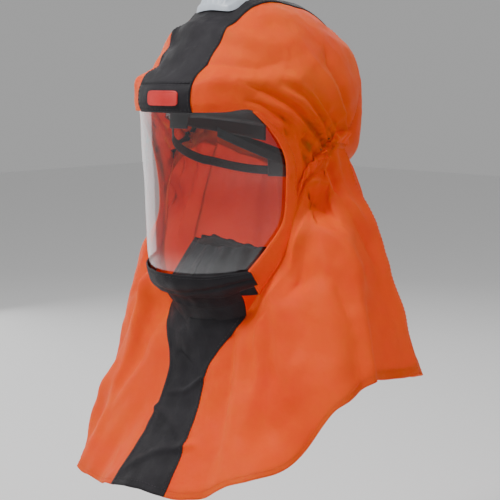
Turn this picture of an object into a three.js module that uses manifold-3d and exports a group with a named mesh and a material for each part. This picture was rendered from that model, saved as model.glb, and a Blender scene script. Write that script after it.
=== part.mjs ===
// An air-fed protective hood with a shoulder cape, in millimetres.
// +Z is up, the wearer looks along -Y, and +X is the wearer's left.
// The origin is the middle of the head at brow height, where the head holds the hood.

import * as THREE from 'three';
import { mergeVertices } from 'three/addons/utils/BufferGeometryUtils.js';
import Module from 'manifold-3d';

const wasm = await Module();
wasm.setup();

const DEGREE = Math.PI / 180;
const hood = new THREE.Group();

// ---------------------------------------------------------------- driving dimensions

const FABRIC = 1.4;              // thickness of the sewn shell
const SEAM_INSET = 1.0;          // half of the gap left along each seam
const LENS_THICKNESS = 1.2;
const LENS_DEPTH = 2.7;          // from the outside of the shell to the outside of the lens
const LENS_TUCK = 5;             // how far the lens reaches under the shell round it

const STRIPE_HALF = 37;          // half-width of the black brow band and crown stripe
const BROW_TOP = 15;
const BROW_BOTTOM = -16;
const TONGUE_ANGLE = 140;        // where the crown stripe ends, seen from the side, 90 is the top
const CAPE_SEAM_ANGLE = 110;     // the seams between the side capes and the rear cape
const NAPE_TUCK = 0.1;           // how far the cape draws in behind the neck
const BIB_TOP_ANGLE = 43;        // the bib's half-angle where it meets the throat
const BIB_HALF = 38;             // its half-width lower down
const BIB_FLARE_END = 0.32;      // the part of the way down where its flare ends
const BIB_FLARE_POWER = 1.8;
const SHOULDER_SWELL = 8;        // how far the cape swells over the shoulders
const CHEST_HOLLOW = 30;         // and how much of that it loses in front
const CLEARANCE = 0.3;           // between hard pieces that fit together
const GAP = 0.4;                 // between hard pieces that move past each other

// The shell's rings, from the crown down to the chin: height, half-width, depth ahead and behind.
const HEAD_RINGS = [
  { z: 102, side: 0, front: 0, rear: 0 },
  { z: 100.5, side: 19, front: 28, rear: 36 },
  { z: 94, side: 37, front: 49, rear: 63 },
  { z: 81, side: 57, front: 66, rear: 90 },
  { z: 67, side: 72, front: 80, rear: 110 },
  { z: 49, side: 88, front: 96, rear: 127 },
  { z: 30, side: 99, front: 113, rear: 135 },
  { z: 13, side: 106, front: 129, rear: 138 },
  { z: -4, side: 108, front: 133, rear: 137 },
  { z: -20, side: 107, front: 130, rear: 135 },
  { z: -60, side: 105, front: 129, rear: 131 },
  { z: -90, side: 101, front: 128, rear: 110 },
  { z: -130, side: 98, front: 128, rear: 101 },
  { z: -170, side: 95, front: 126, rear: 98 },
  { z: -195, side: 90, front: 115, rear: 95 },
  { z: -212, side: 83, front: 96, rear: 92 },
  { z: -236, side: 79, front: 88, rear: 88 },
];

// Heights round the hood, as [degrees from the front towards the wearer's left, height].
const NECK_HEIGHTS = [[0, -236], [43, -224], [55, -197], [68, -163], [75, -128], [86, -78],
  [100, -48], [125, -64], [180, -94]];
const HEM_HEIGHTS = [[-180, -320], [-125, -350], [-90, -396], [-55, -424], [-19, -410], [0, -398],
  [19, -395], [41, -370], [55, -345], [69, -298], [88, -277], [125, -300], [180, -320]];

const HEM = { x: -12, y: -12, side: 200, front: 150, rear: 190 };

// ---------------------------------------------------------------- curves and surfaces

// One coordinate of a smooth curve through b and c, a fraction of the way from b to c.
function spline(a, b, c, d, fraction) {
  const f2 = fraction * fraction;
  const f3 = f2 * fraction;
  return 0.5 * (2 * b + (c - a) * fraction + (2 * a - 5 * b + 4 * c - d) * f2
    + (3 * b - a - 3 * c + d) * f3);
}

// The ring at a level, where level 0 is the crown and each whole number is one of HEAD_RINGS.
function ringAt(level) {
  const last = HEAD_RINGS.length - 1;
  const index = Math.min(Math.max(Math.floor(level), 0), last - 1);
  const beyond = HEAD_RINGS[1];
  const before = { z: beyond.z, side: -beyond.side, front: -beyond.front, rear: -beyond.rear };
  const pick = (i) => (i < 0 ? before : HEAD_RINGS[Math.min(i, last)]);
  const around = [pick(index - 1), pick(index), pick(index + 1), pick(index + 2)];
  const value = (key) => spline(...around.map((ring) => ring[key]), level - index);
  return { z: value('z'), side: value('side'), front: value('front'), rear: value('rear') };
}

const SEARCH_STEPS = 40;
const BEYOND_SHELL = 250;        // farther from the origin than any point of the shell

// The level whose ring is at a height.
function levelAt(height) {
  let low = 0;
  let high = HEAD_RINGS.length - 1;
  for (let step = 0; step < SEARCH_STEPS; step += 1) {
    const middle = (low + high) / 2;
    if (ringAt(middle).z > height) low = middle;
    else high = middle;
  }
  return (low + high) / 2;
}

// A point of the shell, angle degrees round from the front, at a level.
function ringPoint(angle, level) {
  const ring = ringAt(level);
  const turn = angle * DEGREE;
  const depth = Math.cos(turn) >= 0 ? ring.front : ring.rear;
  return new THREE.Vector3(ring.side * Math.sin(turn), -depth * Math.cos(turn), ring.z);
}

const shellPoint = (angle, height) => ringPoint(angle, levelAt(height));

function insideShell(x, y, z) {
  if (z >= HEAD_RINGS[0].z) return false;
  const ring = ringAt(levelAt(z));
  const depth = y < 0 ? ring.front : ring.rear;
  return (x / ring.side) ** 2 + (y / depth) ** 2 < 1;
}

// A point of the shell at a sideways distance x, and an angle of elevation from the front.
function crownPoint(x, elevation) {
  const turn = elevation * DEGREE;
  let low = 0;
  let high = BEYOND_SHELL;
  for (let step = 0; step < SEARCH_STEPS; step += 1) {
    const reach = (low + high) / 2;
    if (insideShell(x, -reach * Math.cos(turn), reach * Math.sin(turn))) low = reach;
    else high = reach;
  }
  return new THREE.Vector3(x, -low * Math.cos(turn), low * Math.sin(turn));
}

// The angle and level of a point that lies on the shell.
function ringPlace(point) {
  const level = levelAt(point.z);
  const ring = ringAt(level);
  const depth = point.y < 0 ? ring.front : ring.rear;
  return { angle: Math.atan2(point.x / ring.side, -point.y / depth) / DEGREE, level };
}

// The height at an angle, smoothly through a list of [angle, height].
function heightAt(list, angle) {
  let index = 0;
  while (index < list.length - 2 && list[index + 1][0] < angle) index += 1;
  const pick = (i) => list[Math.min(Math.max(i, 0), list.length - 1)];
  const fraction = (angle - pick(index)[0]) / (pick(index + 1)[0] - pick(index)[0]);
  const heights = [-1, 0, 1, 2].map((offset) => pick(index + offset)[1]);
  return spline(...heights, fraction);
}

const neckHeight = (angle) => heightAt(NECK_HEIGHTS, Math.abs(angle));
const hemHeight = (angle) => heightAt(HEM_HEIGHTS, angle);

// A point of the cape, part 0 at the neck line and part 1 at the hem.
function capePoint(angle, part) {
  const turn = angle * DEGREE;
  const depth = Math.cos(turn) >= 0 ? HEM.front : HEM.rear;
  const hem = new THREE.Vector3(HEM.x + HEM.side * Math.sin(turn), HEM.y - depth * Math.cos(turn),
    hemHeight(angle));
  const point = shellPoint(angle, neckHeight(angle));
  const nape = Math.max(0, -Math.cos(turn)) ** 0.5;
  point.x *= 1 - NAPE_TUCK * nape;
  point.y *= 1 - NAPE_TUCK * nape;
  point.lerp(hem, part);
  const swell = SHOULDER_SWELL - CHEST_HOLLOW * Math.max(0, Math.cos(turn)) ** 4;
  const shoulder = swell * Math.sin(Math.PI * part);
  point.x += shoulder * Math.sin(turn);
  point.y -= shoulder * Math.cos(turn);
  return point;
}

// The bib stripe's half-angle: wide at the throat, then a stripe of even width.
function bibAngle(part) {
  const radius = capePoint(90, part).x;
  const even = Math.asin(BIB_HALF / radius) / DEGREE;
  const flare = Math.max(0, 1 - part / BIB_FLARE_END) ** BIB_FLARE_POWER;
  return even + (BIB_TOP_ANGLE - even) * flare;
}

// ---------------------------------------------------------------- solids

function addPart(name, geometry, finish) {
  const mesh = new THREE.Mesh(geometry, new THREE.MeshStandardMaterial(finish));
  mesh.name = name;
  hood.add(mesh);
  return mesh;
}

// A rectangular grid of points, rows by columns, from a function of two fractions.
function gridOf(rows, columns, pointAt) {
  const grid = [];
  for (let i = 0; i <= rows; i += 1) {
    const row = [];
    for (let j = 0; j <= columns; j += 1) row.push(pointAt(i / rows, j / columns));
    grid.push(row);
  }
  return grid;
}

// Pulls a point towards its neighbour by a distance.
function pulled(point, neighbour, distance) {
  const step = neighbour.clone().sub(point);
  return point.clone().addScaledVector(step.normalize(), distance);
}

// Draws the border of a grid inwards, so that neighbouring panels leave a seam gap.
function insetGrid(grid, distance) {
  const last = grid.length - 1;
  const end = grid[0].length - 1;
  for (const row of grid) {
    row[0] = pulled(row[0], row[1], distance);
    row[end] = pulled(row[end], row[end - 1], distance);
  }
  for (let j = 0; j <= end; j += 1) {
    grid[0][j] = pulled(grid[0][j], grid[1][j], distance);
    grid[last][j] = pulled(grid[last][j], grid[last - 1][j], distance);
  }
  return grid;
}

// The outward direction at each point of a grid, away from the hood's middle line.
function gridNormals(grid, closed) {
  const last = grid.length - 1;
  const end = grid[0].length - 1;
  const wrap = (j) => (closed ? (j + end + 1) % (end + 1) : Math.min(Math.max(j, 0), end));
  return grid.map((row, i) => row.map((point, j) => {
    const down = grid[Math.min(i + 1, last)][j].clone().sub(grid[Math.max(i - 1, 0)][j]);
    const along = grid[i][wrap(j + 1)].clone().sub(grid[i][wrap(j - 1)]);
    return along.cross(down).normalize();
  }));
}

// A closed body from its corners and triangles, with its faces pointing out.
function closedSolid(positions, indices) {
  const corner = (k) => new THREE.Vector3().fromArray(positions, 3 * k);
  let volume = 0;
  for (let k = 0; k < indices.length; k += 3) {
    const [a, b, c] = [corner(indices[k]), corner(indices[k + 1]), corner(indices[k + 2])];
    volume += a.dot(b.cross(c));
  }
  const geometry = new THREE.BufferGeometry();
  geometry.setAttribute('position', new THREE.Float32BufferAttribute(positions, 3));
  geometry.setIndex(volume < 0 ? indices.reverse() : indices);
  return geometry;
}

const UPWARD_LEAN = 60;          // outward is away from the middle line, and a little up

// A closed solid whose outer face is a grid lowered by depth, and whose inner face lies
// a thickness further in. A closed grid joins its last column to its first.
function sheetSolid(grid, thickness, depth = 0, closed = false) {
  const rows = grid.length;
  const columns = grid[0].length;
  const normals = gridNormals(grid, closed);
  const middle = grid[Math.floor(rows / 2)][Math.floor(columns / 2)];
  const normal = normals[Math.floor(rows / 2)][Math.floor(columns / 2)];
  const outward = new THREE.Vector3(middle.x, middle.y, UPWARD_LEAN).dot(normal) < 0 ? -1 : 1;
  const positions = [];
  const push = (offset) => grid.forEach((row, i) => row.forEach((point, j) => {
    const place = point.clone().addScaledVector(normals[i][j], -outward * offset);
    positions.push(place.x, place.y, place.z);
  }));
  push(depth);
  push(depth + thickness);
  const inner = rows * columns;
  const indices = [];
  const quad = (a, b, c, d) => indices.push(a, b, c, a, c, d);
  const at = (i, j) => i * columns + (j % columns);
  const spans = closed ? columns : columns - 1;
  for (let i = 0; i < rows - 1; i += 1) {
    for (let j = 0; j < spans; j += 1) {
      const corners = [at(i, j), at(i, j + 1), at(i + 1, j + 1), at(i + 1, j)];
      quad(...[...corners].reverse());
      quad(...corners.map((k) => k + inner));
    }
    if (!closed) {
      quad(at(i, 0), at(i, 0) + inner, at(i + 1, 0) + inner, at(i + 1, 0));
      const end = columns - 1;
      quad(at(i + 1, end), at(i + 1, end) + inner, at(i, end) + inner, at(i, end));
    }
  }
  for (let j = 0; j < spans; j += 1) {
    quad(at(0, j), at(0, j + 1), at(0, j + 1) + inner, at(0, j) + inner);
    const foot = rows - 1;
    quad(at(foot, j + 1), at(foot, j), at(foot, j) + inner, at(foot, j + 1) + inner);
  }
  return closedSolid(positions, indices);
}

// A closed solid between an upper grid and a lower grid of the same shape.
function layered(upper, lower) {
  const rows = upper.length;
  const columns = upper[0].length;
  const positions = [...upper.flat(), ...lower.flat()].flatMap((p) => [p.x, p.y, p.z]);
  const indices = [];
  const quad = (a, b, c, d) => indices.push(a, b, c, a, c, d);
  const count = rows * columns;
  const at = (i, j) => i * columns + j;
  for (let i = 0; i < rows - 1; i += 1) {
    for (let j = 0; j < columns - 1; j += 1) {
      const corners = [at(i, j), at(i, j + 1), at(i + 1, j + 1), at(i + 1, j)];
      quad(...corners);
      quad(...[...corners].reverse().map((k) => k + count));
    }
  }
  const rim = [];
  for (let j = 0; j < columns; j += 1) rim.push(at(0, j));
  for (let i = 1; i < rows; i += 1) rim.push(at(i, columns - 1));
  for (let j = columns - 2; j >= 0; j -= 1) rim.push(at(rows - 1, j));
  for (let i = rows - 2; i > 0; i -= 1) rim.push(at(i, 0));
  rim.forEach((a, k) => {
    const b = rim[(k + 1) % rim.length];
    quad(b, a, a + count, b + count);
  });
  return closedSolid(positions, indices);
}

// A panel of the shell between two edges, each a function of a fraction that gives a place.
function shellPanel(rows, columns, upper, lower, options = {}) {
  const { thickness = FABRIC, depth = 0, inset = SEAM_INSET } = options;
  const grid = gridOf(rows, columns, (down, along) => {
    const a = upper(along);
    const b = lower(along);
    const mix = (key) => a[key] + (b[key] - a[key]) * down;
    return ringPoint(mix('angle'), mix('level'));
  });
  return sheetSolid(inset > 0 ? insetGrid(grid, inset) : grid, thickness, depth);
}

// ---------------------------------------------------------------- finishes

const ORANGE = { color: 0xf85000, roughness: 0.75, metalness: 0 };
const BLACK_CLOTH = { color: 0x2a272b, roughness: 0.85, metalness: 0 };
const CLEAR = { color: 0xe8f0f2, roughness: 0.08, metalness: 0, transparent: true, opacity: 0.3 };
const GREY_PLASTIC = { color: 0xb4bbc5, roughness: 0.5, metalness: 0 };
const BLACK_PLASTIC = { color: 0x1c1d20, roughness: 0.45, metalness: 0 };
const RED_LABEL = { color: 0xd23232, roughness: 0.5, metalness: 0 };
const WEBBING = { color: 0x2b2c30, roughness: 0.9, metalness: 0 };
const FOAM = { color: 0x3a3b40, roughness: 0.95, metalness: 0 };
const RUBBER = { color: 0x161616, roughness: 0.7, metalness: 0 };
const STEEL = { color: 0xb9bcc0, roughness: 0.3, metalness: 1 };

// ---------------------------------------------------------------- edges of the panels

const SIDES = [{ name: 'left', sign: 1 }, { name: 'right', sign: -1 }];

// The lens opening: its half-angle at each height from the top corner to the bottom corner.
const LENS_CORNER = 50;
const LENS_TOP_CORNER_HEIGHT = -14;
const LENS_BOTTOM_CORNER_HEIGHT = -172;
const LENS_BOTTOM_MIDDLE_HEIGHT = -178;
const LENS_SIDE = [
  { angle: LENS_CORNER, height: LENS_TOP_CORNER_HEIGHT },
  { angle: 59, height: -34 },
  { angle: 66, height: -60 },
  { angle: 68, height: -95 },
  { angle: 67, height: -125 },
  { angle: 59, height: -150 },
  { angle: LENS_CORNER, height: LENS_BOTTOM_CORNER_HEIGHT },
];
// The outer edge of the orange surround, from the lens's top corner to the chin's corner.
const SURROUND_EDGE = [
  { angle: LENS_CORNER + 2, height: LENS_TOP_CORNER_HEIGHT },
  { angle: 63, height: -34 },
  { angle: 71, height: -60 },
  { angle: 74, height: -95 },
  { angle: 75, height: -125 },
  { angle: 69, height: -155 },
  { angle: 55, height: -189 },
];
// The lower edge of each crown panel, from the brow back to the rear seam.
const CROWN_LOWER_EDGE = [
  { angle: 20.5, height: BROW_BOTTOM },
  { angle: 36, height: -15.5 },
  ...SURROUND_EDGE.slice(0, 5),
  { angle: 79, height: -92 },
  { angle: 90, height: -62 },
  { angle: 101, height: neckHeight(101) },
  { angle: CAPE_SEAM_ANGLE, height: neckHeight(CAPE_SEAM_ANGLE) },
];

// A place on a smooth line through a list of { angle, height }, as an angle and a level.
function placeOn(list, fraction, sign = 1) {
  const whole = fraction * (list.length - 1);
  const index = Math.min(Math.floor(whole), list.length - 2);
  const pick = (i) => list[Math.min(Math.max(i, 0), list.length - 1)];
  const value = (key) => spline(...[-1, 0, 1, 2].map((offset) => pick(index + offset)[key]),
    whole - index);
  return { angle: sign * value('angle'), level: levelAt(value('height')) };
}

// A point of the front of the shell, at a sideways distance and a height.
function frontPoint(x, height) {
  const ring = ringAt(levelAt(height));
  return new THREE.Vector3(x, -ring.front * Math.sqrt(1 - (x / ring.side) ** 2), height);
}

const browElevation = Math.atan2(BROW_TOP, -frontPoint(0, BROW_TOP).y) / DEGREE;

// The edge of the crown stripe, from the brow back to the end of its tongue.
function stripeEdge(fraction, sign) {
  const elevation = browElevation + (TONGUE_ANGLE - browElevation) * fraction;
  return ringPlace(crownPoint(sign * STRIPE_HALF, elevation));
}

// ---------------------------------------------------------------- the head of the hood

const BROW_BAND = { thickness: 2.4, stand: 1, inset: 1.4 };
const LABEL_HALF = 20;
const LABEL_HEIGHT = 17;
const LABEL_CENTRE = { x: 6, z: -1 };
const LABEL = { thickness: 0.8, stand: 2.2 };

function buildBrow() {
  const across = (fraction, half) => (2 * fraction - 1) * half;
  const band = gridOf(4, 10, (down, along) => frontPoint(across(along, STRIPE_HALF),
    BROW_TOP + (BROW_BOTTOM - BROW_TOP) * down));
  const padded = sheetSolid(insetGrid(band, BROW_BAND.inset), BROW_BAND.thickness, -BROW_BAND.stand);
  addPart('brow_band', padded, BLACK_CLOTH);
  const label = gridOf(2, 6, (down, along) => frontPoint(LABEL_CENTRE.x + across(along, LABEL_HALF),
    LABEL_CENTRE.z + LABEL_HEIGHT * (0.5 - down)));
  addPart('brow_label', sheetSolid(label, LABEL.thickness, -LABEL.stand), RED_LABEL);
}

function buildCrownStripe() {
  const stripe = gridOf(16, 4, (down, along) => crownPoint((2 * along - 1) * STRIPE_HALF,
    browElevation + (TONGUE_ANGLE - browElevation) * down));
  addPart('crown_stripe', sheetSolid(insetGrid(stripe, SEAM_INSET), FABRIC), BLACK_CLOTH);
}

function buildCrownPanels() {
  for (const { name, sign } of SIDES) {
    const panel = shellPanel(8, 18, (along) => stripeEdge(along, sign),
      (along) => placeOn(CROWN_LOWER_EDGE, along, sign));
    addPart(`crown_panel_${name}`, panel, ORANGE);
  }
}

// The rear panel hangs from the end of the tongue, between the two crown panels.
function buildRearPanel() {
  const tongueX = (along) => (1 - 2 * along) * STRIPE_HALF;
  const panel = gridOf(8, 12, (down, along) => {
    const upper = ringPlace(crownPoint(tongueX(along), TONGUE_ANGLE));
    const upperTurn = upper.angle < 0 ? upper.angle + 360 : upper.angle;
    const lowerTurn = CAPE_SEAM_ANGLE + (360 - 2 * CAPE_SEAM_ANGLE) * along;
    const lowerHeight = neckHeight(lowerTurn > 180 ? lowerTurn - 360 : lowerTurn);
    const turn = upperTurn + (lowerTurn - upperTurn) * down;
    return ringPoint(turn, upper.level + (levelAt(lowerHeight) - upper.level) * down);
  });
  addPart('rear_panel', sheetSolid(insetGrid(panel, SEAM_INSET), FABRIC), ORANGE);
}

const SURROUND_INSET = 1.7;

function buildSurrounds() {
  for (const { name, sign } of SIDES) {
    const band = shellPanel(2, 14, (along) => placeOn(LENS_SIDE, along, sign),
      (along) => placeOn(SURROUND_EDGE, along, sign), { inset: SURROUND_INSET });
    addPart(`visor_surround_${name}`, band, ORANGE);
  }
}

// The lens's side edges lie under the surrounds, between these heights.
const LENS_REACH = 70;
const LENS_SIDE_TOP = -62;
const LENS_SIDE_FOOT = -134;
const LENS_CORNER_POWER = 1.6;

// The lens reaches under the shell round its opening, and bends one way only.
function buildLens() {
  const corner = LENS_CORNER + 3;
  const edge = (angle, nearCorner, nearSide) => {
    const past = Math.max(0, Math.abs(angle) - corner) / (LENS_REACH - corner);
    return nearCorner + (nearSide - nearCorner) * past ** LENS_CORNER_POWER;
  };
  const lens = gridOf(6, 18, (down, along) => {
    const angle = (2 * along - 1) * LENS_REACH;
    const top = edge(angle, BROW_BOTTOM + LENS_TUCK, LENS_SIDE_TOP);
    const foot = edge(angle, LENS_BOTTOM_MIDDLE_HEIGHT - LENS_TUCK, LENS_SIDE_FOOT);
    return shellPoint(angle, top + (foot - top) * down);
  });
  addPart('visor_lens', sheetSolid(lens, LENS_THICKNESS, LENS_DEPTH), CLEAR);
}

const CHIN_REACH = 55;
const CHIN_FOOT = [
  { angle: 0, height: -204 },
  { angle: 30, height: -201 },
  { angle: CHIN_REACH, height: -188 },
];
const CUFF_REACH = 44;
const CUFF_TOP_DROP = 2;         // below the foot of the chin
const CUFF_FOOT_DROP = 12;

function buildChinAndThroat() {
  const mirrored = (list, along) => placeOn(list, Math.abs(2 * along - 1), Math.sign(2 * along - 1) || 1);
  const chinTop = [
    { angle: 0, height: LENS_BOTTOM_MIDDLE_HEIGHT },
    { angle: 28, height: -177 },
    { angle: LENS_CORNER, height: LENS_BOTTOM_CORNER_HEIGHT },
  ];
  const chin = shellPanel(4, 20, (along) => mirrored(chinTop, along),
    (along) => mirrored(CHIN_FOOT, along));
  addPart('chin_panel', chin, BLACK_CLOTH);
  const lowered = (along, drop, reach) => {
    const angle = (2 * along - 1) * reach;
    const place = placeOn(CHIN_FOOT, Math.abs(angle) / CHIN_REACH);
    return { angle, level: levelAt(ringAt(place.level).z - drop) };
  };
  const cuff = shellPanel(2, 14, (along) => lowered(along, CUFF_TOP_DROP, CUFF_REACH),
    (along) => lowered(along, CUFF_FOOT_DROP, CUFF_REACH));
  addPart('neck_cuff', cuff, BLACK_CLOTH);
  const throat = shellPanel(2, 12, (along) => lowered(along, CUFF_FOOT_DROP, BIB_TOP_ANGLE), (along) => {
    const angle = (2 * along - 1) * BIB_TOP_ANGLE;
    return { angle, level: levelAt(neckHeight(angle)) };
  });
  addPart('throat_panel', throat, BLACK_CLOTH);
}

// ---------------------------------------------------------------- the cape

const CAPE_INSET = 1.2;

// A panel of the cape between two edges, each an angle that may change on the way down.
function capePanel(from, to, rows, columns) {
  const grid = gridOf(rows, columns, (down, along) => {
    const start = from(down);
    return capePoint(start + (to(down) - start) * along, down);
  });
  return insetGrid(grid, CAPE_INSET);
}

function buildCape() {
  const seam = () => CAPE_SEAM_ANGLE;
  const mirrored = (edge) => (part) => -edge(part);
  const bib = capePanel(mirrored(bibAngle), bibAngle, 8, 6);
  addPart('bib_stripe', sheetSolid(bib, FABRIC), BLACK_CLOTH);
  addPart('cape_left', sheetSolid(capePanel(bibAngle, seam, 8, 12), FABRIC), ORANGE);
  const right = capePanel(mirrored(seam), mirrored(bibAngle), 8, 12);
  addPart('cape_right', sheetSolid(right, FABRIC), ORANGE);
}

// ---------------------------------------------------------------- joining and cutting

function solidOf(geometry) {
  const bare = geometry.clone();
  bare.deleteAttribute('normal');
  bare.deleteAttribute('uv');
  const merged = mergeVertices(bare, 1e-4);
  const mesh = new wasm.Mesh({
    numProp: 3,
    vertProperties: new Float32Array(merged.attributes.position.array),
    triVerts: new Uint32Array(merged.index.array),
  });
  return new wasm.Manifold(mesh);
}

function geometryOf(solid) {
  const mesh = solid.getMesh();
  const geometry = new THREE.BufferGeometry();
  geometry.setAttribute('position', new THREE.BufferAttribute(mesh.vertProperties, 3));
  geometry.setIndex(new THREE.BufferAttribute(mesh.triVerts, 1));
  return geometry;
}

const cut = (geometry, tool) => geometryOf(solidOf(geometry).subtract(solidOf(tool)));
const join = (...geometries) => geometryOf(geometries.map(solidOf).reduce((all, one) => all.add(one)));

// A ring or disc about the Y axis at a height, from a list of [radius, y] corners.
function turned(corners, height, sides = 24) {
  const profile = corners.map(([radius, along]) => new THREE.Vector2(radius, along));
  profile.push(profile[0].clone());
  const geometry = new THREE.LatheGeometry(profile, sides);
  return geometry.translate(0, 0, height);
}

const tube = (inner, outer, start, end, height, sides) => turned(
  [[inner, start], [outer, start], [outer, end], [inner, end]], height, sides);

function box(width, depth, height, x, y, z) {
  return new THREE.BoxGeometry(width, depth, height).translate(x, y, z);
}

function rod(radius, start, end, height, sides = 24) {
  const length = end - start;
  return new THREE.CylinderGeometry(radius, radius, length, sides).translate(0, start + length / 2, height);
}

// ---------------------------------------------------------------- hose coupling at the nape

const INLET_HEIGHT = -112;
const INLET_BORE = 11.5;
const INLET_RADIUS = 15;
const INLET_TIP = 146;
const INLET_FLANGE_Y = 92;
const SPIGOT_HOLE_GAP = 0.5;     // round the spigot, where it passes through the cape

function buildCapeRear() {
  const grid = gridOf(8, 12, (down, along) => {
    const angle = CAPE_SEAM_ANGLE + (360 - 2 * CAPE_SEAM_ANGLE) * along;
    return capePoint(angle > 180 ? angle - 360 : angle, down);
  });
  const cloth = sheetSolid(insetGrid(grid, CAPE_INSET), FABRIC);
  const hole = rod(INLET_RADIUS + SPIGOT_HOLE_GAP, 0, INLET_TIP, INLET_HEIGHT, 32);
  addPart('cape_rear', cut(cloth, hole), ORANGE);
}

const FLANGE_RADIUS = 24;
const FLANGE_THICKNESS = 2.5;
const SPIGOT_LENGTH = 35;        // from the shell to where the hose socket begins
const COLLAR_LENGTH = 6;
const GASKET_RADIUS = 20.5;
const NUT_RADIUS = 21;
const NUT_WIDTH = 7;
const LUG = { width: 5, length: 6, height: 3 };

// A bored spigot through the rear cape, with a gasket, a ring nut and a socket that turns on its end.
function buildCoupling() {
  const z = INLET_HEIGHT;
  const start = INLET_FLANGE_Y;
  const face = start + FLANGE_THICKNESS;
  const end = start + SPIGOT_LENGTH;
  const flange = turned([[INLET_BORE, start], [FLANGE_RADIUS, start], [FLANGE_RADIUS, face],
    [INLET_RADIUS, face], [INLET_RADIUS, end], [INLET_BORE, end]], z);
  addPart('inlet_flange', flange, BLACK_PLASTIC);
  const gasket = tube(INLET_RADIUS + CLEARANCE, GASKET_RADIUS, face + CLEARANCE, face + 6 * CLEARANCE, z);
  addPart('inlet_gasket', gasket, RUBBER);
  const nut = tube(INLET_RADIUS + CLEARANCE, NUT_RADIUS, end - 1 - NUT_WIDTH, end - 1, z);
  addPart('inlet_ring_nut', nut, BLACK_PLASTIC);
  const near = end + GAP;
  const collar = near + COLLAR_LENGTH;
  const socket = turned([[INLET_BORE, near], [INLET_RADIUS + 3, near], [INLET_RADIUS + 3, collar],
    [INLET_RADIUS, collar + 2], [INLET_RADIUS, INLET_TIP], [INLET_BORE, INLET_TIP]], z);
  const lug = (side) => box(LUG.width, LUG.length, LUG.height, side * (INLET_RADIUS + 1),
    INLET_TIP - LUG.length, z);
  addPart('hose_socket', join(socket, lug(1), lug(-1)), BLACK_PLASTIC);
}

// ---------------------------------------------------------------- gathers and neck seal

const GATHER_START = 80;         // degrees from the front, where the casings begin
const GATHER_REACH = 28;
const CASING_WIDTH = 8;
const CASING_THICKNESS = 1.2;
const CASING_STAND = 1.6;        // how far the casing stands off the shell
const ELASTIC_WIDTH = 8;

function buildGathers() {
  for (const { name, sign } of SIDES) {
    const casing = gridOf(2, 12, (down, along) => {
      const angle = GATHER_START + GATHER_REACH * along;
      return shellPoint(sign * angle, neckHeight(angle) + 12 - CASING_WIDTH * down);
    });
    addPart(`gather_casing_${name}`, sheetSolid(casing, CASING_THICKNESS, -CASING_STAND), ORANGE);
  }
  const elastic = gridOf(1, 24, (down, along) => {
    const angle = GATHER_START + (360 - 2 * GATHER_START) * along;
    const turn = angle > 180 ? angle - 360 : angle;
    return shellPoint(turn, neckHeight(turn) + 14 - ELASTIC_WIDTH * down);
  });
  addPart('gather_elastic', sheetSolid(elastic, 1, FABRIC + 4), WEBBING);
}

const SEAL_INNER = { side: 58, front: 62, rear: 66, height: -156 };
const SEAL_OUTER = { side: 80, front: 96, rear: 86, height: -200 };
const SEAL_FALL = 0.35;          // how far its inner edge drops for each millimetre behind the middle
const SEAL_COLUMNS = 28;
const SEAL_THICKNESS = 1.2;
const SEAL_ELASTIC_INSET = 2.6;

// A point on the neck seal, 0 at its inner edge and 1 where it meets the shell.
function sealPoint(part, along, outset) {
  const turn = along * 2 * Math.PI;
  const mix = (key) => SEAL_INNER[key] + (SEAL_OUTER[key] - SEAL_INNER[key]) * part;
  const depth = (Math.cos(turn) >= 0 ? mix('front') : mix('rear')) + outset;
  const y = -depth * Math.cos(turn);
  const fall = SEAL_FALL * Math.max(0, y) * (1 - part);
  return new THREE.Vector3((mix('side') + outset) * Math.sin(turn), y, mix('height') - fall);
}

// The neck seal rises inside the chin as a funnel, to an elastic edge round the neck.
function buildNeckSeal() {
  const ring = (rows, start, end, outset) => gridOf(rows, SEAL_COLUMNS,
    (down, along) => sealPoint(start + (end - start) * down, along, outset)).map((row) => row.slice(0, -1));
  addPart('neck_seal', sheetSolid(ring(3, 0, 1, 0), SEAL_THICKNESS, 0, true), BLACK_CLOTH);
  const elastic = sheetSolid(ring(1, 0.03, 0.25, -SEAL_ELASTIC_INSET), SEAL_THICKNESS, 0, true);
  addPart('neck_seal_elastic', elastic, WEBBING);
}

// ---------------------------------------------------------------- crown cap

const CAP = { y: -38, halfWidth: 28, halfLength: 24, rise: 9, cells: 8 };
const CAP_SEAT = 0.4;            // gap between the crown and the cap
const PLATE = { halfWidth: 24, halfLength: 20, thickness: 1 };

// The crown below a place on the cap, given as fractions across and along it.
function capFoot(down, along, halfWidth, halfLength) {
  const y = CAP.y + (1 - 2 * down) * halfLength;
  return crownPoint((2 * along - 1) * halfWidth, Math.atan2(HEAD_RINGS[0].z - 14, -y) / DEGREE);
}

function buildCrownCap() {
  const raised = (riseAt) => gridOf(CAP.cells, CAP.cells, (down, along) => {
    const point = capFoot(down, along, CAP.halfWidth, CAP.halfLength);
    const edge = Math.max(Math.abs(2 * along - 1), Math.abs(1 - 2 * down));
    point.z += CAP_SEAT + riseAt(edge);
    return point;
  });
  const top = raised((edge) => 0.2 + CAP.rise * (1 - edge ** 3));
  addPart('crown_cap', layered(top, raised(() => 0)), GREY_PLASTIC);
  const plate = gridOf(6, 4, (down, along) => capFoot(down, along, PLATE.halfWidth, PLATE.halfLength));
  addPart('crown_backing_plate', sheetSolid(plate, PLATE.thickness, 2 * FABRIC), GREY_PLASTIC);
}

// ---------------------------------------------------------------- head harness

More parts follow.
